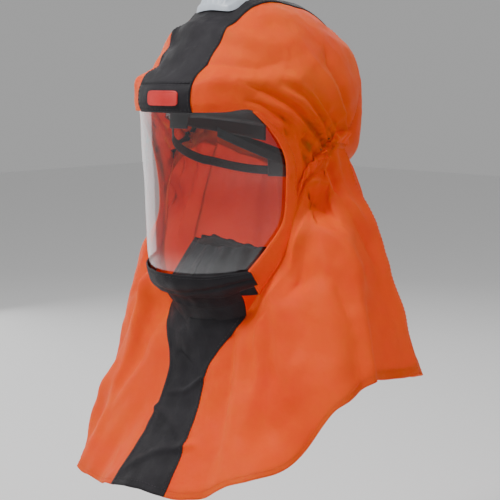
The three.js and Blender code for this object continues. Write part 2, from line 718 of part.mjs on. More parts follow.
const BAND = { side: 80, front: 98, rear: 94, width: 22, thickness: 1.6 };
const BAND_FRONT_HEIGHT = -8;
const BAND_REAR_HEIGHT = -46;
const BAND_END_ANGLE = 146;
const BAND_SQUARENESS = 2.5;     // the band is flatter than an ellipse behind
const SWEATBAND = { reach: 70, width: 26, inset: 2.2, thickness: 3 };
const STRAP_CROWN = { side: 74, front: 90, rear: 86, top: 84, foot: -22, half: 9, lap: 3 };
const STRAP_THICKNESS = 1.2;
const NAPE_STRAP = { start: 26, end: 144, width: 9, drop: 22, fall: 52 };
const NAPE_PAD = { side: 78, depth: 84, reach: 30, top: -66, height: 28, thickness: 5 };
const BRACKET = { top: 16, foot: 12, height: 34, lean: 5, thickness: 2 };

const bandHeight = (angle) => BAND_FRONT_HEIGHT
  + (BAND_REAR_HEIGHT - BAND_FRONT_HEIGHT) * (1 - Math.cos(angle * DEGREE)) / 2;

// A point on the headband's ring, moved outwards by outset and up by rise.
function bandPoint(angle, rise, outset) {
  const turn = angle * DEGREE;
  const behind = Math.cos(turn) < 0;
  const power = behind ? 2 / BAND_SQUARENESS : 1;
  const depth = (behind ? BAND.rear : BAND.front) + outset;
  const x = (BAND.side + outset) * Math.sign(Math.sin(turn)) * Math.abs(Math.sin(turn)) ** power;
  const y = -depth * Math.sign(Math.cos(turn)) * Math.abs(Math.cos(turn)) ** power;
  return new THREE.Vector3(x, y, bandHeight(angle) + rise);
}

function bandSolid(reach, width, outset, thickness, columns) {
  const grid = gridOf(1, columns, (down, along) => bandPoint((2 * along - 1) * reach,
    width * (0.5 - down), outset));
  return sheetSolid(grid, thickness);
}

// A strap over the head, from one side of the band to the other.
function crownStrap(across, outset) {
  const grid = gridOf(1, 20, (down, along) => {
    const turn = Math.PI * along;
    const rise = (STRAP_CROWN.top - STRAP_CROWN.foot + outset) * Math.sin(turn) ** 0.8;
    const height = STRAP_CROWN.foot + rise;
    const offset = (2 * down - 1) * STRAP_CROWN.half;
    if (across) return new THREE.Vector3(-(STRAP_CROWN.side + outset) * Math.cos(turn), offset, height);
    const depth = Math.cos(turn) > 0 ? STRAP_CROWN.front : STRAP_CROWN.rear;
    return new THREE.Vector3(offset, -(depth + outset) * Math.cos(turn), height);
  });
  return sheetSolid(grid, STRAP_THICKNESS);
}

// The bracket hangs from the front of the band and narrows as it leans forward.
function browBracket() {
  const grid = gridOf(3, 6, (down, along) => {
    const x = (2 * along - 1) * (BRACKET.top + (BRACKET.foot - BRACKET.top) * down);
    const curve = x * x / (2 * BAND.front);
    return new THREE.Vector3(x, -BAND.front - 4 - BRACKET.lean * down + curve, 2 - BRACKET.height * down);
  });
  return sheetSolid(grid, BRACKET.thickness);
}

// A strap from the temple down to the nape pad, drawn in from the band as it goes back.
function napeStrap(sign) {
  const grid = gridOf(1, 16, (down, along) => {
    const angle = NAPE_STRAP.start + (NAPE_STRAP.end - NAPE_STRAP.start) * along;
    const drop = NAPE_STRAP.drop + NAPE_STRAP.fall * Math.sin(along * Math.PI / 2);
    const point = bandPoint(angle, 0, -6 - 6 * along);
    const height = BAND_FRONT_HEIGHT - drop - NAPE_STRAP.width * down;
    return new THREE.Vector3(sign * point.x, point.y, height);
  });
  return sheetSolid(grid, STRAP_THICKNESS);
}

function buildHarness() {
  addPart('headband', bandSolid(BAND_END_ANGLE, BAND.width, 0, BAND.thickness, 36), BLACK_PLASTIC);
  const sweatband = bandSolid(SWEATBAND.reach, SWEATBAND.width, -SWEATBAND.inset, SWEATBAND.thickness, 20);
  addPart('sweatband', sweatband, FOAM);
  addPart('crown_strap_across', crownStrap(true, STRAP_CROWN.lap), WEBBING);
  addPart('crown_strap_along', crownStrap(false, 0), WEBBING);
  addPart('brow_bracket', browBracket(), BLACK_PLASTIC);
  for (const { name, sign } of SIDES) addPart(`nape_strap_${name}`, napeStrap(sign), WEBBING);
  const pad = gridOf(2, 8, (down, along) => {
    const turn = (2 * along - 1) * NAPE_PAD.reach * DEGREE;
    const height = NAPE_PAD.top - NAPE_PAD.height * down;
    return new THREE.Vector3(NAPE_PAD.side * Math.sin(turn), NAPE_PAD.depth * Math.cos(turn), height);
  });
  addPart('nape_pad', sheetSolid(pad, NAPE_PAD.thickness), FOAM);
}

// ---------------------------------------------------------------- ratchet behind the head

const RATCHET_Y = 97;
const RATCHET_HEIGHT = BAND_REAR_HEIGHT;
const PINION = { radius: 5, depth: 0.9, teeth: 10, thickness: 3.2 };
const RACK = { travel: 6, halfHeight: 9, slotHalf: 6.3, thickness: 1.4, near: -17, far: 48, teeth: 9 };
const CASE = { halfWidth: 44, halfHeight: 13, corner: 6, depth: 6, back: 2 };
const CHANNEL = { depth: 3.9, height: 2 * RACK.halfHeight + 0.8 };
const KNOB = { radius: 16, depth: 1.4, teeth: 20, thickness: 9, neck: 4.6 };
const SPINDLE_RADIUS = 2.7;
const RACK_STEP = RACK.thickness + 0.4;

function gearOutline(radius, depth, teeth) {
  const points = [];
  for (let tooth = 0; tooth < teeth; tooth += 1) {
    const steps = [[0, -1], [0.2, 1], [0.5, 1], [0.7, -1]];
    for (const [fraction, out] of steps) {
      const turn = (tooth + fraction) / teeth * 2 * Math.PI;
      const reach = radius + out * depth / 2;
      points.push(new THREE.Vector2(reach * Math.cos(turn), reach * Math.sin(turn)));
    }
  }
  return new THREE.Shape(points);
}

// Stands an outline drawn in X and Z up behind the head, from y over a depth.
function plateOf(shape, y, depth) {
  const geometry = new THREE.ExtrudeGeometry(shape, { depth, bevelEnabled: false, curveSegments: 8 });
  geometry.rotateX(Math.PI / 2);
  return geometry.translate(0, y + depth, RATCHET_HEIGHT);
}

function roundedBar(halfWidth, halfHeight, radius) {
  const shape = new THREE.Shape();
  const x = halfWidth - radius;
  const z = halfHeight - radius;
  const quarter = Math.PI / 2;
  shape.moveTo(-x, -halfHeight);
  shape.lineTo(x, -halfHeight);
  shape.absarc(x, -z, radius, -quarter, 0);
  shape.absarc(x, z, radius, 0, quarter);
  shape.absarc(-x, z, radius, quarter, 2 * quarter);
  shape.absarc(-x, -z, radius, 2 * quarter, 3 * quarter);
  return shape;
}

// The slot of a rack, with teeth along the edge on one side of the pinion.
function rackSlot(sign) {
  const pitch = 2 * Math.PI * PINION.radius / PINION.teeth;
  const end = RACK.travel + 1.5 * PINION.radius;
  const toothed = sign * (RACK.slotHalf - 0.2);
  const tip = toothed - sign * 0.6;
  const points = [[-end, -toothed], [end, -toothed]];
  for (let tooth = RACK.teeth - 1; tooth >= 0; tooth -= 1) {
    const x = (tooth / (RACK.teeth - 1) * 2 - 1) * (end - 1);
    points.push([x + pitch * 0.2, toothed], [x, tip], [x - pitch * 0.2, toothed]);
  }
  return new THREE.Path(points.map(([x, z]) => new THREE.Vector2(sign * x, z)));
}

// A strap of the band's rear, with a toothed slot round the pinion.
function rackStrap(sign, y) {
  const [near, far] = [sign * RACK.near, sign * RACK.far];
  const corners = [[near, -1], [far, -1], [far, 1], [near, 1]];
  const bar = new THREE.Shape(corners.map(([x, side]) => new THREE.Vector2(x, side * RACK.halfHeight)));
  bar.holes.push(rackSlot(sign));
  return plateOf(bar, y, RACK.thickness);
}

function buildRatchet() {
  const y = RATCHET_Y;
  const z = RATCHET_HEIGHT;
  const outline = roundedBar(CASE.halfWidth, CASE.halfHeight, CASE.corner);
  const back = plateOf(outline, y - CASE.back - GAP, CASE.back);
  const hole = rod(SPINDLE_RADIUS + CLEARANCE, y - 6, y + 2, z);
  addPart('ratchet_back_plate', cut(back, hole), BLACK_PLASTIC);
  addPart('rack_strap_left', rackStrap(1, y), BLACK_PLASTIC);
  addPart('rack_strap_right', rackStrap(-1, y + RACK_STEP), BLACK_PLASTIC);
  const cover = plateOf(outline, y - 0.1, CASE.depth);
  const channel = box(2 * CASE.halfWidth + 12, CHANNEL.depth, CHANNEL.height, 0, y + 1.6, z);
  const bore = rod(PINION.radius + 1.5, y - 2, y + 2 * CASE.depth, z);
  addPart('ratchet_cover', cut(cut(cover, channel), bore), BLACK_PLASTIC);
  const pinion = plateOf(gearOutline(PINION.radius, PINION.depth, PINION.teeth), y, PINION.thickness);
  const spindle = rod(SPINDLE_RADIUS, y - 2.2, y + PINION.thickness, z, 16);
  addPart('ratchet_pinion', join(pinion, spindle), STEEL);
  const fluted = gearOutline(KNOB.radius, KNOB.depth, KNOB.teeth);
  const grip = plateOf(fluted, y + CASE.depth + CLEARANCE, KNOB.thickness);
  const neck = rod(KNOB.neck, y + PINION.thickness + CLEARANCE, y + CASE.depth + 0.5, z, 20);
  addPart('ratchet_knob', join(grip, neck), BLACK_PLASTIC);
}

// ---------------------------------------------------------------- air duct and outlet

const DUCT = { half: 18, thickness: 5, depth: 5.2, start: 26, end: 168 };
const OUTLET = { half: 34, top: 24, height: 12, thickness: 7, depth: 4.5 };

// The duct climbs inside the shell from the coupling, over the head to the brow.
function buildAirPath() {
  const duct = gridOf(26, 2, (down, along) => crownPoint((2 * along - 1) * DUCT.half,
    DUCT.start + (DUCT.end - DUCT.start) * down));
  addPart('air_duct', sheetSolid(duct, DUCT.thickness, DUCT.depth), BLACK_CLOTH);
  const outlet = gridOf(2, 10, (down, along) => frontPoint((2 * along - 1) * OUTLET.half,
    OUTLET.top - OUTLET.height * down));
  addPart('brow_outlet', sheetSolid(outlet, OUTLET.thickness, OUTLET.depth), BLACK_PLASTIC);
}

buildBrow();
buildCrownStripe();
buildCrownPanels();
buildRearPanel();
buildSurrounds();
buildLens();
buildChinAndThroat();
buildCape();
buildCapeRear();
buildCoupling();
buildGathers();
buildNeckSeal();
buildCrownCap();
buildHarness();
buildRatchet();
buildAirPath();

export default hood;
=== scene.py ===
# An air-fed protective hood with a shoulder cape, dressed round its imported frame.
# Lengths below are millimetres until MM turns them into metres. The wearer looks along -Y.
import math

import bpy
import numpy as np
from mathutils import Euler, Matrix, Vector, noise


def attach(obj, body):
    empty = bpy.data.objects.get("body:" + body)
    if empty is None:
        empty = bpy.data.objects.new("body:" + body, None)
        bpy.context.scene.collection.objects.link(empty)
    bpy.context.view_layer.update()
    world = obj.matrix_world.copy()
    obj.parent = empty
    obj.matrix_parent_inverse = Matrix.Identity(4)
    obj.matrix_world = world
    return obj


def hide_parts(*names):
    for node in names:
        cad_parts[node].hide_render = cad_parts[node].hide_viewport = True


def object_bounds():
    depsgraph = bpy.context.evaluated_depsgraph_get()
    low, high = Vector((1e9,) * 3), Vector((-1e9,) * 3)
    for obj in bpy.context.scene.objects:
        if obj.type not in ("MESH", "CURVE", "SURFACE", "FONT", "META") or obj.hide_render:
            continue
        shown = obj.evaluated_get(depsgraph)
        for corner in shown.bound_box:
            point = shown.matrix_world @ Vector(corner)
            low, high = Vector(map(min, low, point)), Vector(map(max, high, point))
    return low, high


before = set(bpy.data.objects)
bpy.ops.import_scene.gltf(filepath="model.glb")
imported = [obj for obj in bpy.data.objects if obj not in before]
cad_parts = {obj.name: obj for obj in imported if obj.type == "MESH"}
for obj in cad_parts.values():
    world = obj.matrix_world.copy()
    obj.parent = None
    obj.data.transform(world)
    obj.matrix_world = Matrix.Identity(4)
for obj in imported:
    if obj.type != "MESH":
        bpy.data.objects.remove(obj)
CAD_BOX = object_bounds()
MM = 0.001
BODY = "shell"

# ---------------------------------------------------------------- camera and light


def add_camera():
    distance, height = 1.2, 0.02
    azimuth, tilt = math.radians(43.0), math.radians(8.9)
    data = bpy.data.cameras.new("camera")
    data.lens = 80.0
    data.sensor_width = 36.0
    camera = bpy.data.objects.new("camera", data)
    camera.location = (distance * math.sin(azimuth), -distance * math.cos(azimuth), height)
    camera.rotation_euler = Euler((math.radians(90.0) - tilt, 0.0, azimuth))
    bpy.context.scene.collection.objects.link(camera)
    bpy.context.scene.camera = camera


def add_light(name, azimuth, elevation, distance, width, height, power):
    data = bpy.data.lights.new(name, "AREA")
    data.shape = "RECTANGLE"
    data.size = width
    data.size_y = height
    data.energy = power
    light = bpy.data.objects.new(name, data)
    a, e = math.radians(azimuth), math.radians(elevation)
    centre = Vector((0.0, 0.0, -0.12))
    offset = Vector((math.sin(a) * math.cos(e), -math.cos(a) * math.cos(e), math.sin(e)))
    light.location = centre + distance * offset
    light.rotation_euler = offset.to_track_quat("Z", "Y").to_euler()
    bpy.context.scene.collection.objects.link(light)


def add_studio():
    world = bpy.data.worlds.new("studio")
    world.use_nodes = True
    background = world.node_tree.nodes["Background"]
    background.inputs["Color"].default_value = (1.0, 1.0, 1.0, 1.0)
    background.inputs["Strength"].default_value = 0.4
    bpy.context.scene.world = world
    add_light("key_panel", -14.0, 46.0, 1.7, 0.45, 0.6, 25.0)
    add_light("side_panel", 92.0, 30.0, 1.8, 0.4, 1.2, 6.5)
    add_light("top_panel", 40.0, 80.0, 1.5, 0.8, 0.8, 8.0)
    add_light("left_panel", -95.0, 12.0, 1.9, 1.7, 1.8, 12.0)
    add_light("rear_panel_light", 215.0, 30.0, 2.0, 1.2, 1.2, 8.0)
    bpy.ops.mesh.primitive_plane_add(size=12.0, location=(0.0, 0.0, CAD_BOX[0][2] - 0.25))
    floor = bpy.context.object
    floor.name = "floor"
    material = new_material("floor_pale", (0.9, 0.9, 0.9), 0.8)
    floor.data.materials.append(material)


# ---------------------------------------------------------------- materials


def new_material(name, colour, roughness):
    material = bpy.data.materials.new(name)
    material.use_nodes = True
    shader = material.node_tree.nodes["Principled BSDF"]
    shader.inputs["Base Color"].default_value = (*colour, 1.0)
    shader.inputs["Roughness"].default_value = roughness
    return material


class Nodes:
    """Short calls that add and link the nodes of one material."""

    def __init__(self, material):
        self.tree = material.node_tree
        self.shader = self.tree.nodes["Principled BSDF"]
        self.place = self.tree.nodes.new("ShaderNodeTexCoord").outputs["Object"]

    def link(self, output, target):
        self.tree.links.new(output, target)

    def add(self, kind, **values):
        node = self.tree.nodes.new(kind)
        for key, value in values.items():
            if hasattr(node, key):
                setattr(node, key, value)
            else:
                node.inputs[key.replace("_", " ").title()].default_value = value
        return node

    def noise(self, scale, detail=3.0, roughness=0.5, stretch=None):
        node = self.add("ShaderNodeTexNoise", scale=scale, detail=detail, roughness=roughness)
        source = self.place
        if stretch:
            mapping = self.add("ShaderNodeMapping")
            mapping.inputs["Scale"].default_value = stretch
            self.link(source, mapping.inputs["Vector"])
            source = mapping.outputs["Vector"]
        self.link(source, node.inputs["Vector"])
        return node.outputs["Fac"]

    def wave(self, scale, direction, distortion=0.4):
        node = self.add("ShaderNodeTexWave", wave_type="BANDS", bands_direction=direction)
        node.inputs["Scale"].default_value = scale
        node.inputs["Distortion"].default_value = distortion
        self.link(self.place, node.inputs["Vector"])
        return node.outputs["Fac"]

    def ramp(self, source, stops):
        node = self.add("ShaderNodeValToRGB")
        band = node.color_ramp
        while len(band.elements) < len(stops):
            band.elements.new(0.5)
        for element, (position, colour) in zip(band.elements, stops):
            element.position = position
            element.color = (*colour, 1.0) if len(colour) == 3 else colour
        self.link(source, node.inputs["Fac"])
        return node.outputs["Color"]

    def maths(self, operation, first, second):
        node = self.add("ShaderNodeMath", operation=operation)
        for socket, value in zip(node.inputs, (first, second)):
            if isinstance(value, (int, float)):
                socket.default_value = value
            else:
                self.link(value, socket)
        return node.outputs["Value"]

    def bump(self, height, distance, strength=1.0, onto=None):
        node = self.add("ShaderNodeBump")
        node.inputs["Distance"].default_value = distance
        node.inputs["Strength"].default_value = strength
        self.link(height, node.inputs["Height"])
        if onto is not None:
            self.link(onto, node.inputs["Normal"])
        return node.outputs["Normal"]


def cloth_material(name, dark, light, thread=1500.0, sheen=0.02, rough=(0.5, 0.72), shine=0.2, glow=0.0):
    """A close plain weave with a slight coating: uneven colour, worn patches and fine creases."""
    material = new_material(name, light, rough[1])
    n = Nodes(material)
    tone = n.noise(14.0, 5.0, 0.6)
    n.link(n.ramp(tone, [(0.3, dark), (0.7, light)]), n.shader.inputs["Base Color"])
    gloss = n.noise(60.0, 4.0, 0.6)
    n.link(n.ramp(gloss, [(0.3, (rough[0],) * 3), (0.7, (rough[1],) * 3)]), n.shader.inputs["Roughness"])
    weave = n.maths("MULTIPLY", n.wave(thread, "X"), n.wave(thread, "Z"))
    weave = n.maths("ADD", weave, n.maths("MULTIPLY", n.wave(thread, "Y"), 0.5))
    creases = n.bump(n.noise(70.0, 6.0, 0.65), 0.002, 0.5)
    n.link(n.bump(weave, 0.00015, 0.35, creases), n.shader.inputs["Normal"])
    n.shader.inputs["Sheen Weight"].default_value = sheen
    n.shader.inputs["Sheen Roughness"].default_value = 0.5
    n.shader.inputs["Specular IOR Level"].default_value = shine
    if glow:
        n.shader.inputs["Subsurface Weight"].default_value = glow
        n.shader.inputs["Subsurface Radius"].default_value = (1.0, 0.2, 0.05)
        n.shader.inputs["Subsurface Scale"].default_value = 0.0035
    return material


def plastic_material(name, dark, light, rough, grain=900.0):
    """Moulded plastic with a fine spark-eroded grain and faint handling marks."""
    material = new_material(name, light, rough)
    n = Nodes(material)
    n.link(n.ramp(n.noise(35.0, 4.0), [(0.35, dark), (0.7, light)]), n.shader.inputs["Base Color"])
    marks = n.ramp(n.noise(120.0, 5.0), [(0.35, (rough * 0.75,) * 3), (0.7, (min(1.0, rough * 1.2),) * 3)])
    n.link(marks, n.shader.inputs["Roughness"])
    n.link(n.bump(n.noise(grain, 2.0), 0.0002, 0.3), n.shader.inputs["Normal"])
    return material


def lens_material():
    """Clear flexible sheet: see-through face on, and a mirror to the studio at a slant."""
    material = new_material("lens_clear", (0.93, 0.95, 0.97), 0.03)
    n = Nodes(material)
    n.shader.inputs["Metallic"].default_value = 1.0
    slant = n.add("ShaderNodeLayerWeight")
    slant.inputs["Blend"].default_value = 0.5
    mirror = n.maths("POWER", slant.outputs["Facing"], 3.0)
    n.link(n.maths("ADD", n.maths("MULTIPLY", mirror, 0.62), 0.05), n.shader.inputs["Alpha"])
    haze = n.ramp(n.noise(25.0, 5.0), [(0.4, (0.02,) * 3), (0.75, (0.09,) * 3)])
    n.link(haze, n.shader.inputs["Roughness"])
    n.link(n.bump(n.noise(9.0, 2.0), 0.002, 0.25), n.shader.inputs["Normal"])
    return material


def metal_material(name, dark, light):
    material = new_material(name, light, 0.3)
    n = Nodes(material)
    n.shader.inputs["Metallic"].default_value = 1.0
    n.link(n.ramp(n.noise(80.0, 4.0), [(0.3, dark), (0.7, light)]), n.shader.inputs["Base Color"])
    brushed = n.noise(300.0, 3.0, 0.5, (1.0, 1.0, 12.0))
    n.link(n.ramp(brushed, [(0.3, (0.25,) * 3), (0.7, (0.42,) * 3)]), n.shader.inputs["Roughness"])
    return material


ORANGE = cloth_material("orange_cloth", (0.9, 0.055, 0.0), (0.98, 0.095, 0.0), glow=0.7)
BLACK = cloth_material("black_cloth", (0.009, 0.008, 0.01), (0.02, 0.018, 0.022), 1300.0, 0.02, (0.45, 0.68))
WEBBING = cloth_material("webbing", (0.014, 0.014, 0.016), (0.035, 0.035, 0.04), 700.0, 0.1)
FOAM = cloth_material("foam_cover", (0.03, 0.031, 0.035), (0.06, 0.061, 0.067), 800.0, 0.25)
THREAD = cloth_material("thread", (0.018, 0.017, 0.02), (0.05, 0.048, 0.055), 2500.0, 0.1)
ORANGE_THREAD = cloth_material("orange_thread", (0.75, 0.045, 0.0), (0.95, 0.1, 0.005), 2500.0, 0.1)
GREY = plastic_material("grey_plastic", (0.4, 0.44, 0.5), (0.52, 0.57, 0.63), 0.42)
DARK = plastic_material("black_plastic", (0.012, 0.012, 0.014), (0.026, 0.027, 0.03), 0.4)
RUBBER = plastic_material("rubber", (0.01, 0.01, 0.01), (0.02, 0.02, 0.02), 0.65, 600.0)
RED = plastic_material("label_red", (0.55, 0.02, 0.02), (0.68, 0.04, 0.035), 0.45, 700.0)
LENS = lens_material()
STEEL = metal_material("steel", (0.5, 0.5, 0.52), (0.68, 0.68, 0.7))

# ---------------------------------------------------------------- the shell's surface

STRIPE_HALF = 37.0
BROW_TOP, BROW_BOTTOM = 15.0, -16.0
TONGUE_ANGLE = 140.0
CAPE_SEAM = 110.0
BIB_TOP_ANGLE, BIB_HALF = 43.0, 38.0
BIB_FLARE_END, BIB_FLARE_POWER = 0.32, 1.8     # the part of the way down where the bib's flare ends
NAPE_TUCK = 0.1                                # how far the cape draws in behind the neck
SHOULDER_SWELL, CHEST_HOLLOW = 8, 30           # the cape swells over the shoulders, less so in front
BEYOND_SHELL, SEARCH_STEPS = 250.0, 30         # farther out than the shell; halvings that find it

# The shell's rings from the crown down: height, half-width, depth ahead and depth behind.
RINGS = np.array([
    (102, 0, 0, 0), (100.5, 19, 28, 36), (94, 37, 49, 63), (81, 57, 66, 90), (67, 72, 80, 110),
    (49, 88, 96, 127), (30, 99, 113, 135), (13, 106, 129, 138), (-4, 108, 133, 137),
    (-20, 107, 130, 135), (-60, 105, 129, 131), (-90, 101, 128, 110), (-130, 98, 128, 101),
    (-170, 95, 126, 98), (-195, 90, 115, 95), (-212, 83, 96, 92), (-236, 79, 88, 88)], float)
NECK = [(0, -236), (43, -224), (55, -197), (68, -155), (73, -112), (77, -84), (87, -65), (100, -48),
        (125, -64), (180, -94)]
HEM = [(-180, -320), (-125, -350), (-90, -396), (-55, -424), (-19, -410), (0, -398), (19, -395),
       (41, -370), (55, -345), (69, -298), (88, -277), (125, -300), (180, -320)]
HEM_CENTRE = (-12.0, -12.0)
HEM_SIDE, HEM_FRONT, HEM_REAR = 200.0, 150.0, 190.0


def spline(a, b, c, d, f):
    return 0.5 * (2 * b + (c - a) * f + (2 * a - 5 * b + 4 * c - d) * f**2 + (3 * b - a - 3 * c + d) * f**3)


def through(values, at):
    """Smooth values at fractional positions along a list of them."""
    values = np.asarray(values, float)
    last = len(values) - 1
    at = np.clip(np.asarray(at, float), 0.0, last)
    index = np.clip(np.floor(at).astype(int), 0, last - 1)
    pick = [values[np.clip(index + k, 0, last)] for k in (-1, 0, 1, 2)]
    return spline(*pick, at - index)


def ring_table(steps=50):
    mirrored = RINGS[1] * (1, -1, -1, -1)
    rows = np.vstack([mirrored, RINGS, RINGS[-1]])
    levels = np.arange(0, (len(RINGS) - 1) * steps + 1) / steps
    index = np.minimum(np.floor(levels).astype(int), len(RINGS) - 2)
    f = (levels - index)[:, None]
    return levels, spline(rows[index], rows[index + 1], rows[index + 2], rows[index + 3], f)


LEVELS, TABLE = ring_table()


def ring_at(level):
    return [np.interp(level, LEVELS, TABLE[:, k]) for k in range(4)]


def level_at(height):
    return np.interp(-np.asarray(height, float), -TABLE[:, 0], LEVELS)


def ring_point(angle, level):
    z, side, front, rear = ring_at(level)
    turn = np.radians(angle)
    depth = np.where(np.cos(turn) >= 0, front, rear)
    return np.stack([side * np.sin(turn), -depth * np.cos(turn), z], -1)


def crown_point(x, elevation):
    """The shell at a sideways distance x, and an angle of elevation from the front."""
    turn = np.radians(elevation)
    low, high = np.zeros(np.broadcast(x, elevation).shape), BEYOND_SHELL
    high = low + high
    for _ in range(SEARCH_STEPS):
        reach = (low + high) / 2
        y, z = -reach * np.cos(turn), reach * np.sin(turn)
        _, side, front, rear = ring_at(level_at(z))
        depth = np.where(y < 0, front, rear)
        inside = (z < RINGS[0, 0]) & ((x / np.maximum(side, 0.01))**2 + (y / np.maximum(depth, 0.01))**2 < 1)
        low, high = np.where(inside, reach, low), np.where(inside, high, reach)
    return np.stack([x + 0 * low, -low * np.cos(turn), low * np.sin(turn)], -1)


def ring_place(point):
    level = level_at(point[..., 2])
    _, side, front, rear = ring_at(level)
    depth = np.where(point[..., 1] < 0, front, rear)
    return np.degrees(np.arctan2(point[..., 0] / side, -point[..., 1] / depth)), level


def height_on(rows, angle):
    angles, heights = np.array(rows, float).T
    return through(heights, np.interp(angle, angles, np.arange(len(angles))))


def neck_height(angle):
    return height_on(NECK, np.abs(angle))


def cape_point(angle, part):
    turn = np.radians(angle)
    cosine = np.cos(turn)
    depth = np.where(cosine >= 0, HEM_FRONT, HEM_REAR)
    hem = np.stack([HEM_CENTRE[0] + HEM_SIDE * np.sin(turn), HEM_CENTRE[1] - depth * cosine,
                    height_on(HEM, angle)], -1)
    tuck = 1 - NAPE_TUCK * np.maximum(0, -cosine)**0.5
    top = ring_point(angle, level_at(neck_height(angle))) * np.stack([tuck, tuck, 1 + 0 * tuck], -1)
    shoulder = (SHOULDER_SWELL - CHEST_HOLLOW * np.maximum(0, cosine)**4) * np.sin(np.pi * part)
    point = top + (hem - top) * np.asarray(part)[..., None]
    return point + np.stack([shoulder * np.sin(turn), -shoulder * cosine, 0 * shoulder], -1)


def bib_angle(part):
    radius = cape_point(90.0 + 0 * part, part)[..., 0]
    even = np.degrees(np.arcsin(BIB_HALF / radius))
    flare = np.maximum(0, 1 - part / BIB_FLARE_END)**BIB_FLARE_POWER
    return even + (BIB_TOP_ANGLE - even) * flare


# ---------------------------------------------------------------- making meshes


def grid_of(rows, columns):
    """Two arrays of fractions: how far down, and how far along."""
    return np.meshgrid(np.linspace(0, 1, rows + 1), np.linspace(0, 1, columns + 1), indexing="ij")


def slopes(grid):
    return np.gradient(grid, axis=0), np.gradient(grid, axis=1)


def outward(grid):
    """Unit directions away from the hood's middle line, one for each point of a grid."""
    down, along = slopes(grid)
    normal = np.cross(along, down)
    normal /= np.maximum(np.linalg.norm(normal, axis=-1, keepdims=True), 1e-9)
    middle = grid[grid.shape[0] // 2, grid.shape[1] // 2] * (1, 1, 0) + (0, 0, 60)
    if np.dot(middle, normal[grid.shape[0] // 2, grid.shape[1] // 2]) < 0:
        normal = -normal
    return normal


def fine_name(name):
    return f"{name}_fine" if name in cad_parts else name


def layer_faces(rows, columns):
    """The quads of a grid's first layer, and the walls that join its rim to a second layer."""
    index = np.arange(rows * columns).reshape(rows, columns)
    corners = (index[:-1, :-1], index[:-1, 1:], index[1:, 1:], index[1:, :-1])
    faces = np.stack([corner.ravel() for corner in corners], 1)
    rim = np.concatenate([index[0, :], index[1:, -1], index[-1, -2::-1], index[-2:0:-1, 0]])
    after, shift = np.roll(rim, -1), rows * columns
    return faces, np.stack([after, rim, rim + shift, after + shift], 1)


def add_mesh(name, points, faces, material, smooth=None):
    """Adds a piece from its points in metres; smooth says which faces are smoothly shaded."""
    mesh = bpy.data.meshes.new(name)
    mesh.from_pydata(points, [], faces)
    if smooth is not None:
        mesh.polygons.foreach_set("use_smooth", smooth)
    mesh.materials.append(material)
    mesh.update()
    piece = bpy.data.objects.new(name, mesh)
    bpy.context.scene.collection.objects.link(piece)
    return piece


def solid_sheet(name, grid, thickness, material, depth=0.0):
    """A closed cloth solid, its outer face a depth under a grid in millimetres."""
    rows, columns = grid.shape[:2]
    normal = outward(grid)
    outer = grid - normal * depth
    inner = grid - normal * (depth + thickness)
    points = np.concatenate([outer.reshape(-1, 3), inner.reshape(-1, 3)]) * MM
    faces, walls = layer_faces(rows, columns)
    every = np.concatenate([faces, faces[:, ::-1] + rows * columns, walls])
    middle = points[every[len(faces) // 2]]
    facing = np.cross(middle[1] - middle[0], middle[3] - middle[0])
    if np.dot(facing, normal[rows // 2, columns // 2]) < 0:
        every = every[:, ::-1]
    shaded = [True] * (2 * len(faces)) + [False] * len(walls)
    return add_mesh(fine_name(name), points.tolist(), every.tolist(), material, shaded)


def finish_piece(piece, body, slot, *nodes):
    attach(piece, body)
    if nodes:
        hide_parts(*nodes)


# ---------------------------------------------------------------- folds and creases


def soft_noise(points, scale, seed):
    """Smooth noise from -1 to 1 at each point, with lumps about scale millimetres across."""
    flat = points.reshape(-1, 3) / scale + seed * 17.3
    return np.array([noise.noise(Vector(p)) for p in flat.tolist()]).reshape(points.shape[:-1])


def bell(value, width):
    return np.exp(-(value / width)**2)


HEAD_ARC, CAPE_ARC = 1.9, 2.2     # millimetres in one degree round the head, and round the cape
CAPE_LENGTH = 250                 # the cape's creases are laid out on a cape this tall
CREASE_GAIN = 1.5


def crease(angle, height, path, width, depth, arc=HEAD_ARC):
    """A fold along a path of (angle, height), deepest where it starts; arc is the mm in a degree."""
    p = np.stack([angle * arc, height], -1)
    nodes = np.array(path, float) * (arc, 1.0)
    nearest, place = np.full(angle.shape, 1e9), np.zeros(angle.shape)
    for number, (a, b) in enumerate(zip(nodes[:-1], nodes[1:])):
        way = b - a
        along = np.clip(((p - a) @ way) / (way @ way), 0, 1)
        across = np.linalg.norm(p - a - along[..., None] * way, axis=-1)
        place = np.where(across < nearest, (number + along) / (len(nodes) - 1), place)
        nearest = np.minimum(nearest, across)
    shape = np.exp(-nearest / width) if depth < 0 else bell(nearest, width)
    return CREASE_GAIN * depth * shape * (1 - place)**0.6


